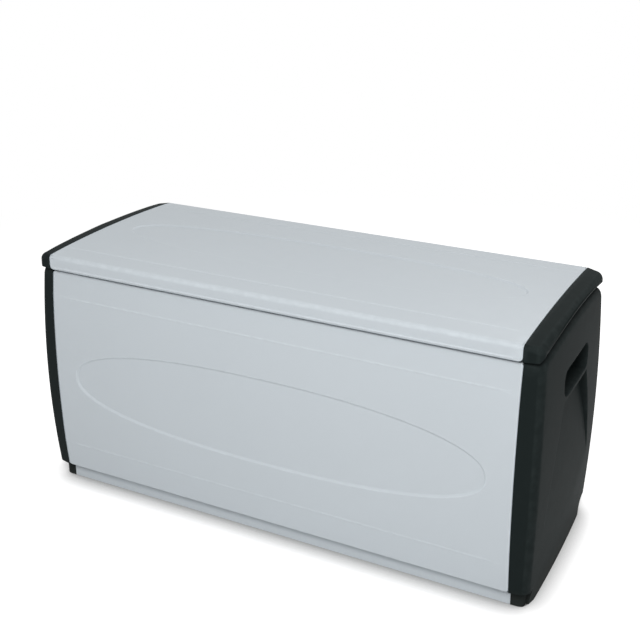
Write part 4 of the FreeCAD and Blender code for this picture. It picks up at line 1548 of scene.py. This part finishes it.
@dataclass
class LidCap:
    """A black cap that closes one end of the lid and rolls down over the end panel.

    Attributes:
        side: Which end it closes.
        paint: Materials.
        form: The bowed end that it follows.
        lid: The lid's section.
        near: X of its edge beside the lid.
        drop: How far its top falls towards its face.
        turn_growth: How much wider its corners turn at its face.
        foot_round: How softly the bevel along its foot begins.
        foot_lines: Heights above its foot, in mm, of the lines that the bevel follows.
        counts: Points on each stretch of the section.
        packed_face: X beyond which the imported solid's outward faces are outer ones.
    """

    side: Side
    paint: Paint
    form: EndForm = field(default_factory=EndForm)
    lid: LidForm = field(default_factory=LidForm)
    near: float = 550.3 * MM
    drop: float = 6 * MM
    rim: float = 13 * MM
    turn_growth: float = 6 * MM
    foot_bevel: float = 8 * MM
    foot_round: float = 1.2 * MM
    near_round: float = 1.4 * MM
    foot_lines: tuple[float, ...] = (1.5, 3.0, 4.5, 6.0, 7.0, 8.0, 9.0, 10.5, 12.5)
    counts: tuple[int, ...] = (12, 8, 4, 24, 4, 8, 12)
    packed_face: float = 575 * MM
    rim_steps: int = 8

    @property
    def reach(self) -> float:
        """Half its depth at its face."""
        return self.lid.half_depth - self.form.setback

    def outline(self, section: Section) -> list[Flat]:
        """Points along a section of the cap, from its rear foot over the top to its front foot.

        Args:
            section: The section, which is the same to the front and the rear.

        Returns:
            Points in depth and height.
        """
        y, z = section.stretches[0].start
        points = [(-y, z)]
        for part, count in zip(section.stretches, self.counts):
            places = (part.at((i + 1) / count)[0] for i in range(count))
            points += [(-place.x, place.y) for place in places]
        return points

    def notched(self, place: Vector) -> Vector:
        """Cuts a place back under the bevel along the cap's foot.

        Args:
            place: The place on the uncut cap.

        Returns:
            The place, no further out than the bevel leaves it.
        """
        height = place.z - self.arch(place.y)
        short = (self.foot_bevel - height) / self.foot_round
        cut = self.foot_round * (short if short > 20 else math.log1p(math.exp(short)))
        limit = self.form.face(place.y, place.z) - cut
        return Vector((min(place.x, limit), place.y, place.z))

    def arch(self, y: float) -> float:
        """Height of the cap's lower edge."""
        rise = self.form.arch_rise
        radius = (self.reach ** 2 + rise ** 2) / (2 * rise)
        return self.lid.bottom + rise - radius + math.sqrt(max(radius ** 2 - y * y, 0.0))

    def skin(self) -> Mesh:
        """Meshes the outer side of the right-hand cap."""
        bottom, far_x = self.lid.bottom, self.form.seam + self.form.depth
        far_section = self.lid.section(self.form.setback, self.drop, self.turn_growth)
        ends = []
        for near, far in zip(self.outline(self.lid.section()), self.outline(far_section)):
            start = Vector((self.near, *near))
            ends.append((self.form.tip(start, Vector((far_x, *far))), start))
        rows, inner_rim = [], []
        for number, (tip, start) in enumerate(ends):
            aim = Vector((0, -tip.y * 0.3, bottom - tip.z))
            row, along, back = self.form.rim_line(ends, number, aim, self.rim, self.rim_steps)
            inner_rim.append((row[0].y, row[0].z))
            row += [tip.lerp(start, 0.4), tip.lerp(start, 0.75)]
            if number in (0, len(ends) - 1):
                down = Vector((0, -tip.y, 0)).normalized()
            else:
                down = along.cross(back).normalized()
                if down.dot(aim - Vector((0, 0, 30 * MM))) < 0:
                    down.negate()
            row += [start - back * self.near_round * (1 - math.sin(angle))
                    + down * self.near_round * (1 - math.cos(angle))
                    for angle in spaced(0.0, QUARTER, math.pi / 6)]
            rows.append([self.notched(place) for place in row])
        mesh = woven(rows)
        face = self.face_pattern(inner_rim).laid(
            lambda y, z, sink: self.notched(Vector((self.form.face(y, z) - sink, y, z))))
        facing_out(face, lambda at: Vector((1, 0, 0)))
        facing_out(mesh, lambda at: Vector((0.1, at.y * 2, (at.z - bottom) * 40)))
        join(mesh, face)
        bmesh.ops.remove_doubles(mesh, verts=mesh.verts, dist=WELD)
        return mark_rims(mesh)

    def face_pattern(self, inner_rim: Sequence[Flat]) -> Pattern:
        """The flat pattern of the cap's end face, down to its arched lower edge.

        Args:
            inner_rim: Where the rounded rim begins, from the rear foot to the front foot.

        Returns:
            The pattern.
        """
        pattern = Pattern()
        reach = abs(inner_rim[0][0])
        low = self.arch(reach)
        ys = spaced(-reach, reach, 8 * MM)
        rim = [(y, max(z, low)) for y, z in inner_rim]
        pattern.line(rim + [(y, self.arch(y)) for y in ys[1:-1]], 0.0)
        for height in self.foot_lines:
            pattern.line([(y, self.arch(y) + height * MM) for y in ys[2:-2]], 0.0, closed=False)
        return pattern

    def is_outer(self, middle: Vector, normal: Vector) -> bool:
        """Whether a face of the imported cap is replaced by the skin.

        Args:
            middle: The face's middle.
            normal: Its normal.

        Returns:
            True where the skin stands for it.
        """
        x, y, z = middle.x * self.side.value, middle.y, middle.z
        if normal.x * self.side.value > 0.3 and x > self.packed_face:
            return True
        if normal.z > 0.3 and z > self.lid.shoulder - self.drop:
            return True
        inside = self.lid.half_depth - self.form.setback * (x - self.near) / self.form.depth - 2 * MM
        return abs(normal.y) > 0.4 and normal.y * y > 0 and abs(y) > inside

    def build(self, node: Piece) -> Piece:
        """Builds and settles the cap.

        Args:
            node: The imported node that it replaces.

        Returns:
            The piece.
        """
        mesh = to_the_side(self.skin(), self.side)
        join(mesh, tuck(inner_copy(node, self.is_outer), mesh))
        name = f"lid_cap_{self.side.word}"
        return self.paint.finished(f"{name}_moulding", mesh, BLACK, Body.LID, name)


def made_plain(piece: Piece, name: str) -> Piece:
    """Turns a piece with modifiers into a plain mesh.

    Args:
        piece: The piece, which is removed.
        name: The new piece's name.

    Returns:
        The plain piece.
    """
    graph = bpy.context.evaluated_depsgraph_get()
    data = bpy.data.meshes.new_from_object(piece.evaluated_get(graph))
    drop(piece)
    data.name = name
    plain = bpy.data.objects.new(name, data)
    bpy.context.scene.collection.objects.link(plain)
    return plain


def turned(profile: Sequence[Flat], sides: int = 32) -> Mesh:
    """Turns a profile about the X axis.

    Args:
        profile: Places along X with their radii, from one end to the other.
        sides: Number of sides.

    Returns:
        The closed mesh.
    """
    mesh = bmesh.new()
    rings = []
    for x, radius in profile:
        if radius < 0.01 * MM:
            rings.append([mesh.verts.new((x, 0, 0))] * sides)
            continue
        angles = [2 * math.pi * i / sides for i in range(sides)]
        rings.append([mesh.verts.new((x, radius * math.cos(a), radius * math.sin(a))) for a in angles])
    for ring, following in zip(rings, rings[1:]):
        for i in range(sides):
            j = (i + 1) % sides
            corners = dict.fromkeys((ring[i], ring[j], following[j], following[i]))
            if len(corners) > 2:
                mesh.faces.new(list(corners))
    bmesh.ops.recalc_face_normals(mesh, faces=mesh.faces)
    return mesh


def packed_box(node: str) -> tuple[Vector, Vector]:
    """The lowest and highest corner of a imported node."""
    low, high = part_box(node)
    return Vector(low), Vector(high)


def dome(height: float, radius: float, fall: float, steps: int) -> list[Flat]:
    """A domed head's profile, from its middle outwards, falling by a share of its height."""
    return [(height * fall * (i / steps) ** 2, radius * i / steps) for i in range(steps + 1)]


@dataclass
class SoftEdged:
    """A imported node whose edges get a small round.

    Attributes:
        paint: Materials.
        width: Width of the round.
        angle: Edges that bend more than this are rounded.
        flat: Faces that bend less than this are joined first.
    """

    paint: Paint
    width: float
    angle: float = math.radians(40)
    flat: float = math.radians(0.5)

    def build(self, node: Piece, name: str, body: Body,
              finish: Finish) -> Piece:
        """Builds and settles the piece.

        Args:
            node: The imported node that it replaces.
            name: The node's name.
            body: The body that it rides on.
            finish: Its finish.

        Returns:
            The piece.
        """
        mesh = merged_copy(node)
        bmesh.ops.dissolve_limit(mesh, angle_limit=self.flat, verts=mesh.verts, edges=mesh.edges)
        piece = as_object(f"{name}_rounded", mesh, self.paint.of(finish))
        bevel = piece.modifiers.new("round", "BEVEL")
        bevel.width = self.width
        bevel.segments = 2
        bevel.limit_method = "ANGLE"
        bevel.angle_limit = self.angle
        bevel.harden_normals = False
        piece = made_plain(piece, f"{name}_part")
        return settle(piece, body, finish, name)


@dataclass
class Plinth:
    """A set-back strip under a long panel, with a shadow groove along its top.

    Attributes:
        paint: Materials.
        node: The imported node.
        front: -1 for the front strip, 1 for the rear one.
    """

    paint: Paint
    node: str
    front: int
    back: float = 5 * MM
    groove_low: float = 27 * MM
    groove_depth: float = 7 * MM
    edge: float = 1.2 * MM

    def profile(self, depth: float, height: float) -> list[Flat]:
        """The strip's section, in distance behind its packed face and in height.

        Args:
            depth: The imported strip's depth.
            height: Its height.

        Returns:
            The section's points.
        """
        round_off = [(self.edge * (1 - math.sin(a)), self.edge * (1 - math.cos(a)))
                     for a in spaced(0.0, QUARTER, math.pi / 8)]
        foot = [(self.back + back, up) for back, up in round_off]
        lip = [(self.back + back, self.groove_low - down) for down, back in round_off]
        groove = self.back + self.groove_depth
        return foot + lip + [(groove, self.groove_low), (groove, height), (depth, height), (depth, 0.0)]

    def build(self) -> Piece:
        """Builds and settles the strip."""
        low, high = packed_box(self.node)
        profile = self.profile(high.y - low.y, high.z - low.z)
        outer = low.y if self.front < 0 else high.y
        mesh = bmesh.new()
        ends = [[mesh.verts.new((x, outer - self.front * d, low.z + z)) for d, z in profile]
                for x in (low.x, high.x)]
        for i in range(len(profile)):
            j = (i + 1) % len(profile)
            mesh.faces.new((ends[0][i], ends[0][j], ends[1][j], ends[1][i]))
        for end in ends:
            mesh.faces.new(end)
        bmesh.ops.recalc_face_normals(mesh, faces=mesh.faces)
        return self.paint.finished(f"{self.node}_strip", mesh, PALE_GREY, Body.CHEST, self.node)


@dataclass
class RowTree:
    """A Geometry Nodes tree that sets a template out in a row.

    Attributes:
        name: The tree's name.
    """

    name: str = "row_of_pieces"
    sockets: dict[str, str] = field(default_factory=dict)
    tree: bpy.types.GeometryNodeTree | None = None

    def build(self) -> None:
        """Builds the tree, with its sizes as named inputs."""
        tree = bpy.data.node_groups.new(self.name, "GeometryNodeTree")
        face = tree.interface
        for name, kind in (("Geometry", "NodeSocketGeometry"), ("Template", "NodeSocketObject"),
                           ("Count", "NodeSocketInt"), ("Start", "NodeSocketVector"),
                           ("Step", "NodeSocketVector"), ("Turn", "NodeSocketVector"),
                           ("Finish", "NodeSocketMaterial")):
            self.sockets[name] = face.new_socket(name, in_out="INPUT", socket_type=kind).identifier
        face.new_socket("Geometry", in_out="OUTPUT", socket_type="NodeSocketGeometry")
        wires = Wiring(tree)
        given = wires.add("NodeGroupInput", {}).outputs
        line = wires.add("GeometryNodeMeshLine", {
            "Count": given["Count"], "Start Location": given["Start"], "Offset": given["Step"],
        }, mode="OFFSET")
        template = wires.add("GeometryNodeObjectInfo", {"Object": given["Template"]})
        turn = wires.add("FunctionNodeEulerToRotation", {"Euler": given["Turn"]})
        placed = wires.add("GeometryNodeInstanceOnPoints", {
            "Points": line.outputs["Mesh"], "Instance": template.outputs["Geometry"],
            "Rotation": turn.outputs["Rotation"]})
        real = wires.add("GeometryNodeRealizeInstances", {"Geometry": placed.outputs["Instances"]})
        finish = wires.add("GeometryNodeSetMaterial", {"Geometry": real.outputs["Geometry"],
                                                       "Material": given["Finish"]})
        wires.add("NodeGroupOutput", {"Geometry": finish.outputs["Geometry"]})
        self.tree = tree

    def set_out(self, template: Piece, starts: Iterable[Vector], step: Vector, turn: Vector,
                count: int = 3) -> Mesh:
        """Sets out rows of a template.

        Args:
            template: The piece that repeats, at the origin, which is removed.
            starts: Where the first one of each row stands.
            step: From each to the next.
            turn: How each is turned, as angles about X, Y and Z.
            count: How many there are in a row.

        Returns:
            The rows' mesh.
        """
        if self.tree is None:
            self.build()
        mesh = bmesh.new()
        for start in starts:
            carrier = bpy.data.objects.new("row", bpy.data.meshes.new("row"))
            bpy.context.scene.collection.objects.link(carrier)
            modifier = carrier.modifiers.new("row", "NODES")
            modifier.node_group = self.tree
            values = {"Template": template, "Count": count, "Start": tuple(start), "Step": tuple(step),
                      "Turn": tuple(turn), "Finish": template.data.materials[0]}
            for name, value in values.items():
                modifier[self.sockets[name]] = value
            made = made_plain(carrier, "row_made")
            mesh.from_mesh(made.data)
            drop(made)
        drop(template)
        return mesh


@dataclass
class Screws:
    """Pan-head screws with a cross recess, set out in rows.

    Attributes:
        paint: Materials.
        rows: The tree that sets them out.
    """

    paint: Paint
    rows: RowTree
    head_radius: float = 4.5 * MM
    head_height: float = 2.5 * MM
    shank_radius: float = 2 * MM
    shank_length: float = 14 * MM
    tip: float = 2 * MM
    dome_reach: float = 0.9
    dome_fall: float = 0.55
    rim_height: float = 0.3
    recess_half: float = 0.88 * MM
    recess_reach: float = 2.3 * MM
    recess_depth: float = 1.3 * MM

    def template(self) -> Piece:
        """Makes one screw, its head on the side of positive X and its seat at the origin."""
        top, radius, shank = self.head_height, self.head_radius, self.shank_radius
        head = dome(top, radius * self.dome_reach, self.dome_fall, 5)
        profile = [(top - fall, reach) for fall, reach in head]
        profile += [(top * self.rim_height, radius), (0.0, radius), (0.0, shank),
                    (self.tip - self.shank_length, shank), (-self.shank_length, 0.0)]
        mesh = turned(profile, 24)
        for vert in mesh.verts:
            y, z = abs(vert.co.y), abs(vert.co.z)
            slot = min(y, z) < self.recess_half and max(y, z) < self.recess_reach
            if slot and vert.co.x > top * 0.5:
                vert.co.x -= self.recess_depth
        return as_object("screw_template", mesh, self.paint.of(ZINC))

    def build(self, node: str, body: Body, along: int, out: Vector) -> Piece:
        """Builds and settles the screws of one node.

        Args:
            node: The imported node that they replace.
            body: The body that they ride on.
            along: The axis along which three of them stand, 0 for X and 1 for Y.
            out: The way their heads point.

        Returns:
            The piece.
        """
        low, high = packed_box(node)
        turn = Vector((1, 0, 0)).rotation_difference(out).to_euler()
        radius = self.head_radius
        across, axis = (1, 2) if along == 0 else (2, 0)
        lines = (low.y + radius, high.y - radius) if along == 0 else ((low.z + high.z) / 2,)
        seat = high[axis] - self.head_height if out[axis] > 0 else low[axis] + self.head_height
        first, last = low[along] + radius, high[along] - radius
        starts, step = [Vector() for _ in lines], Vector()
        for start, line in zip(starts, lines):
            start[along], start[across], start[axis] = first, line, seat
        step[along] = (last - first) / 2
        mesh = self.rows.set_out(self.template(), starts, step, Vector(turn))
        return self.paint.finished(f"{node}_set", mesh, ZINC, body, node)


@dataclass
class Knuckles:
    """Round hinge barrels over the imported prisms, three groups along the rear edge.

    Attributes:
        paint: Materials.
        rows: The tree that sets them out.
    """

    paint: Paint
    rows: RowTree
    axis_y: float = 236 * MM
    axis_z: float = 542.5 * MM
    pitch: float = 380 * MM
    radius: float = 7.05 * MM
    bore: float = 3.06 * MM
    width: float = 24.1 * MM
    step: float = 24.5 * MM
    edge: float = 0.8 * MM

    def template(self) -> Piece:
        """Makes one barrel with rounded ends and a bore, along X, its middle at the origin."""
        half, edge = self.width / 2, self.edge
        bend = [(half - edge * (1 - math.sin(a)), self.radius - edge * (1 - math.cos(a)))
                for a in spaced(0.0, QUARTER, math.pi / 6)]
        profile = [(half, self.bore)] + bend[::-1] + [(-x, r) for x, r in bend] + [(-half, self.bore)]
        mesh = turned(profile + [profile[0]], 40)
        bmesh.ops.remove_doubles(mesh, verts=mesh.verts, dist=MERGE)
        bmesh.ops.recalc_face_normals(mesh, faces=mesh.faces)
        return as_object("barrel_template", mesh, self.paint.of(PALE_GREY))

    def build(self, name: str, body: Body, steps: Sequence[int]) -> Piece:
        """Builds and settles the barrels of one half of the hinge.

        Args:
            name: The piece's name.
            body: The body that they ride on.
            steps: How many steps each barrel stands from the middle of its group.

        Returns:
            The piece.
        """
        first = Vector((-self.pitch, self.axis_y, self.axis_z))
        starts = [first + Vector((number * self.step, 0, 0)) for number in steps]
        mesh = self.rows.set_out(self.template(), starts, Vector((self.pitch, 0, 0)), Vector())
        return self.paint.finished(name, mesh, PALE_GREY, body)


@dataclass
class HeadedPin:
    """A rivet or stud: a domed head inside the chest and a round shank.

    Attributes:
        paint: Materials.
        node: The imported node.
        body: The body that it rides on.
    """

    paint: Paint
    node: str
    body: Body
    head_radius: float = 7.6 * MM
    head_thick: float = 3 * MM
    shank_radius: float = 3.5 * MM
    dome_reach: float = 0.93
    dome_fall: float = 0.55
    rim_height: float = 0.75
    under: float = 0.97
    chamfer: float = 0.5 * MM

    def build(self) -> Piece:
        """Builds and settles the pin."""
        low, high = packed_box(self.node)
        sign = 1 if low.x > 0 else -1
        length = high.x - low.x
        thick, radius, shank = self.head_thick, self.head_radius, self.shank_radius
        profile = dome(thick, radius * self.dome_reach, self.dome_fall, 6)
        profile += [(thick * self.rim_height, radius), (thick, radius * self.under), (thick, shank),
                    (length - self.chamfer, shank), (length, shank - self.chamfer), (length, 0.0)]
        mesh = turned(profile)
        inner = low.x if sign > 0 else high.x
        for vert in mesh.verts:
            vert.co = Vector((inner + sign * vert.co.x, vert.co.y + (low.y + high.y) / 2,
                              vert.co.z + (low.z + high.z) / 2))
        bmesh.ops.recalc_face_normals(mesh, faces=mesh.faces)
        return self.paint.finished(f"{self.node}_turned", mesh, ZINC, self.body, self.node)


@dataclass
class HingePin:
    """A steel hinge pin with chamfered ends.

    Attributes:
        paint: Materials.
        node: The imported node.
    """

    paint: Paint
    node: str
    chamfer: float = 0.6 * MM

    def build(self) -> Piece:
        """Builds and settles the pin."""
        low, high = packed_box(self.node)
        half, radius = (high.x - low.x) / 2, (high.z - low.z) / 2
        ends = [(half, 0.0), (half, radius - self.chamfer), (half - self.chamfer, radius)]
        mesh = turned(ends + [(-x, r) for x, r in reversed(ends)], 28)
        for vert in mesh.verts:
            vert.co += (low + high) / 2
        return self.paint.finished(f"{self.node}_turned", mesh, ZINC, Body.CHEST, self.node)


@dataclass
class PackedPieces:
    """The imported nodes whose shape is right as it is, with their finishes."""

    paint: Paint

    def dress(self, nodes: dict[str, Piece]) -> None:
        """Gives every node that still shows its material.

        Args:
            nodes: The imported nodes.
        """
        material = self.paint.of(FLOOR_GREY)
        for name, node in nodes.items():
            if node.hide_render:
                continue
            if not node.material_slots:
                node.data.materials.append(material)
            for slot in node.material_slots:
                slot.material = material
            LOG.info("%s keeps its packed shape, in %s", name, material.name)


@dataclass
class Studio:
    """Floor, lamps, world and camera.

    Attributes:
        camera_place: Where the camera stands.
        camera_yaw: Its turn to the left of straight ahead, in degrees.
        camera_pitch: How far it looks down, in degrees.
        lens: Its focal length in millimetres.
        shift: How far the frame is moved down, as a share of its width.
        floor_half: Half the floor's side.
        world_strength: How strongly the world lights the scene, where 1 is white.
        floor_lift: White added to the floor where it is seen.
        contact_reach: How far the shade round the chest's foot reaches.
        contact_shade: How dark it is at most.
        contact_span: Between which open shares of the sky it fades.
        floor_colour: The floor's own colour.
        lit_radius: How far from the middle the floor shows its own light.
        white_radius: Where it has run out to plain white.
    """

    camera_place: tuple[float, float, float] = (1.032, -1.988, 1.367)
    camera_yaw: float = 27.13
    camera_pitch: float = 19.15
    lens: float = 60.2
    shift: float = -0.1
    floor_half: float = 30.0
    world_strength: float = 0.37
    floor_lift: float = 0.68
    contact_reach: float = 0.08
    contact_shade: float = 0.8
    contact_span: Flat = (0.25, 0.9)
    floor_colour: Colour = (0.86, 0.86, 0.86, 1.0)
    lit_radius: float = 1.2
    white_radius: float = 2.6

    def camera(self) -> None:
        """Sets up the camera at the photograph's viewing angle."""
        data = bpy.data.cameras.new("camera")
        data.lens = self.lens
        data.sensor_width = 36.0
        data.shift_y = self.shift
        data.clip_end = 100.0
        camera = bpy.data.objects.new("camera", data)
        camera.location = self.camera_place
        turns = (90 - self.camera_pitch, 0.0, self.camera_yaw)
        camera.rotation_euler = [math.radians(turn) for turn in turns]
        bpy.context.scene.collection.objects.link(camera)
        bpy.context.scene.camera = camera

    def seen(self, wires: Wiring) -> Socket:
        """1 for what the camera, a reflection or a clear piece shows, and 0 for the scene's light."""
        ray = wires.add("ShaderNodeLightPath", {}).outputs
        through = wires.maths("MAXIMUM", ray["Is Glossy Ray"], ray["Is Transmission Ray"])
        return wires.maths("MAXIMUM", ray["Is Camera Ray"], through)

    def floor_material(self) -> Material:
        """Builds the floor's finish.

        Returns:
            A dull white that is lifted until it clips where nothing shades it, is darkened close
            round what stands on it, and runs out to plain white further away.
        """
        material, wires, shader = fresh_material("floor_white")
        shader.inputs["Base Color"].default_value = self.floor_colour
        shader.inputs["Roughness"].default_value = 1.0
        shader.inputs["Specular IOR Level"].default_value = 0.0
        seen = self.seen(wires)
        lift = wires.maths("MULTIPLY", seen, self.floor_lift)
        glow = wires.add("ShaderNodeEmission", {"Strength": lift}).outputs["Emission"]
        lit = wires.add("ShaderNodeAddShader", {0: shader.outputs["BSDF"], 1: glow}).outputs["Shader"]

        sky = wires.add("ShaderNodeAmbientOcclusion", {"Distance": self.contact_reach}, samples=16)
        shade = wires.ranged(sky.outputs["AO"], self.contact_span, (self.contact_shade, 0.0))
        shaded = wires.over(wires.maths("MULTIPLY", shade, seen), lit, 0.0)

        reach = wires.add("ShaderNodeVectorMath", {0: wires.place()}, operation="LENGTH")
        run_out = (self.lit_radius, self.white_radius)
        away = wires.ranged(reach.outputs["Value"], run_out, (0.0, 1.0), "SMOOTHSTEP")
        whitened = wires.over(wires.maths("MULTIPLY", away, seen), shaded, 1.0)
        output = material.node_tree.nodes["Material Output"]
        material.node_tree.links.new(whitened, output.inputs["Surface"])
        return material

    def floor(self) -> None:
        """Lays a plain white floor that keeps the chest's shadow."""
        half = self.floor_half
        data = bpy.data.meshes.new("floor")
        data.from_pydata([(-half, -half, 0), (half, -half, 0), (half, half, 0), (-half, half, 0)], [],
                         [(0, 1, 2, 3)])
        floor = bpy.data.objects.new("floor", data)
        bpy.context.scene.collection.objects.link(floor)
        data.materials.append(self.floor_material())

    def lamp(self, name: str, place: tuple[float, float, float], size: float, power: float) -> None:
        """Hangs a square lamp that looks at the chest's middle.

        Args:
            name: The lamp's name.
            place: Where it hangs.
            size: Its side.
            power: Its power in watts.
        """
        data = bpy.data.lights.new(name, "AREA")
        data.size = size
        data.energy = power
        lamp = bpy.data.objects.new(name, data)
        lamp.location = place
        target = Vector((0.0, 0.0, 0.3))
        lamp.rotation_euler = (target - Vector(place)).to_track_quat("-Z", "Y").to_euler()
        bpy.context.scene.collection.objects.link(lamp)

    def world(self) -> None:
        """Lights the scene evenly from all round."""
        world = bpy.data.worlds.new("world")
        world.use_nodes = True
        background = world.node_tree.nodes["Background"]
        background.inputs["Color"].default_value = (1, 1, 1, 1)
        wires = Wiring(world.node_tree)
        strength = wires.ranged(self.seen(wires), (0.0, 1.0), (self.world_strength, 1.0))
        world.node_tree.links.new(strength, background.inputs["Strength"])
        bpy.context.scene.world = world

    def build(self) -> None:
        """Sets up the whole studio."""
        self.camera()
        self.floor()
        self.lamp("front_lamp", (0.8, -2.3, 2.5), 1.0, 61.0)
        self.lamp("rear_lamp", (0.2, 2.0, 2.4), 1.2, 18.0)
        self.world()
        bpy.context.scene.view_settings.view_transform = "Standard"


def corners(box: tuple[Iterable[float], Iterable[float]]) -> list[list[float]]:
    """A box as plain lists of numbers."""
    return [[float(value) for value in corner] for corner in box]


def main() -> None:
    """Builds the chest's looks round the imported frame."""
    logging.basicConfig(level=logging.INFO, format="%(name)s: %(message)s")
    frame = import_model()
    nodes = frame["nodes"]
    Studio().build()
    paint = Paint()
    LongPanel("front_panel", -1, paint).build(nodes["front_panel"])
    LongPanel("back_panel", 1, paint).build(nodes["back_panel"])
    LidPanel(paint).build(nodes["lid_panel"])
    for side in Side:
        EndPanel(side, paint).build(nodes[f"end_panel_{side.word}"])
        LidCap(side, paint).build(nodes[f"lid_cap_{side.word}"])
    rows = RowTree()
    screws = Screws(paint, rows)
    screws.build("floor_screws", Body.CHEST, 0, Vector((0, 0, 1)))
    for side in Side:
        screws.build(f"cap_screws_{side.word}", Body.LID, 1, Vector((-side.value, 0, 0)))
        HeadedPin(paint, f"stay_rivet_{side.word}", Body.LID).build()
        HeadedPin(paint, f"stay_stud_{side.word}", Body.CHEST).build()
        stay = f"lid_stay_{side.word}"
        body = Body.STAY_LEFT if side is Side.LEFT else Body.STAY_RIGHT
        SoftEdged(paint, 0.7 * MM).build(nodes[stay], stay, body, STAY_GREY)
    for place in ("left", "centre", "right"):
        HingePin(paint, f"hinge_pin_{place}").build()
    knuckles = Knuckles(paint, rows)
    knuckles.build("rear_hinge_barrels", Body.CHEST, (-1, 1))
    knuckles.build("lid_hinge_barrels", Body.LID, (0,))
    Plinth(paint, "front_plinth", -1).build()
    Plinth(paint, "rear_plinth", 1).build()
    SoftEdged(paint, 1.4 * MM).build(nodes["lid_buffers"], "lid_buffers", Body.CHEST, RUBBER)
    PackedPieces(paint).dress(nodes)


if __name__ == "__main__":
    main()
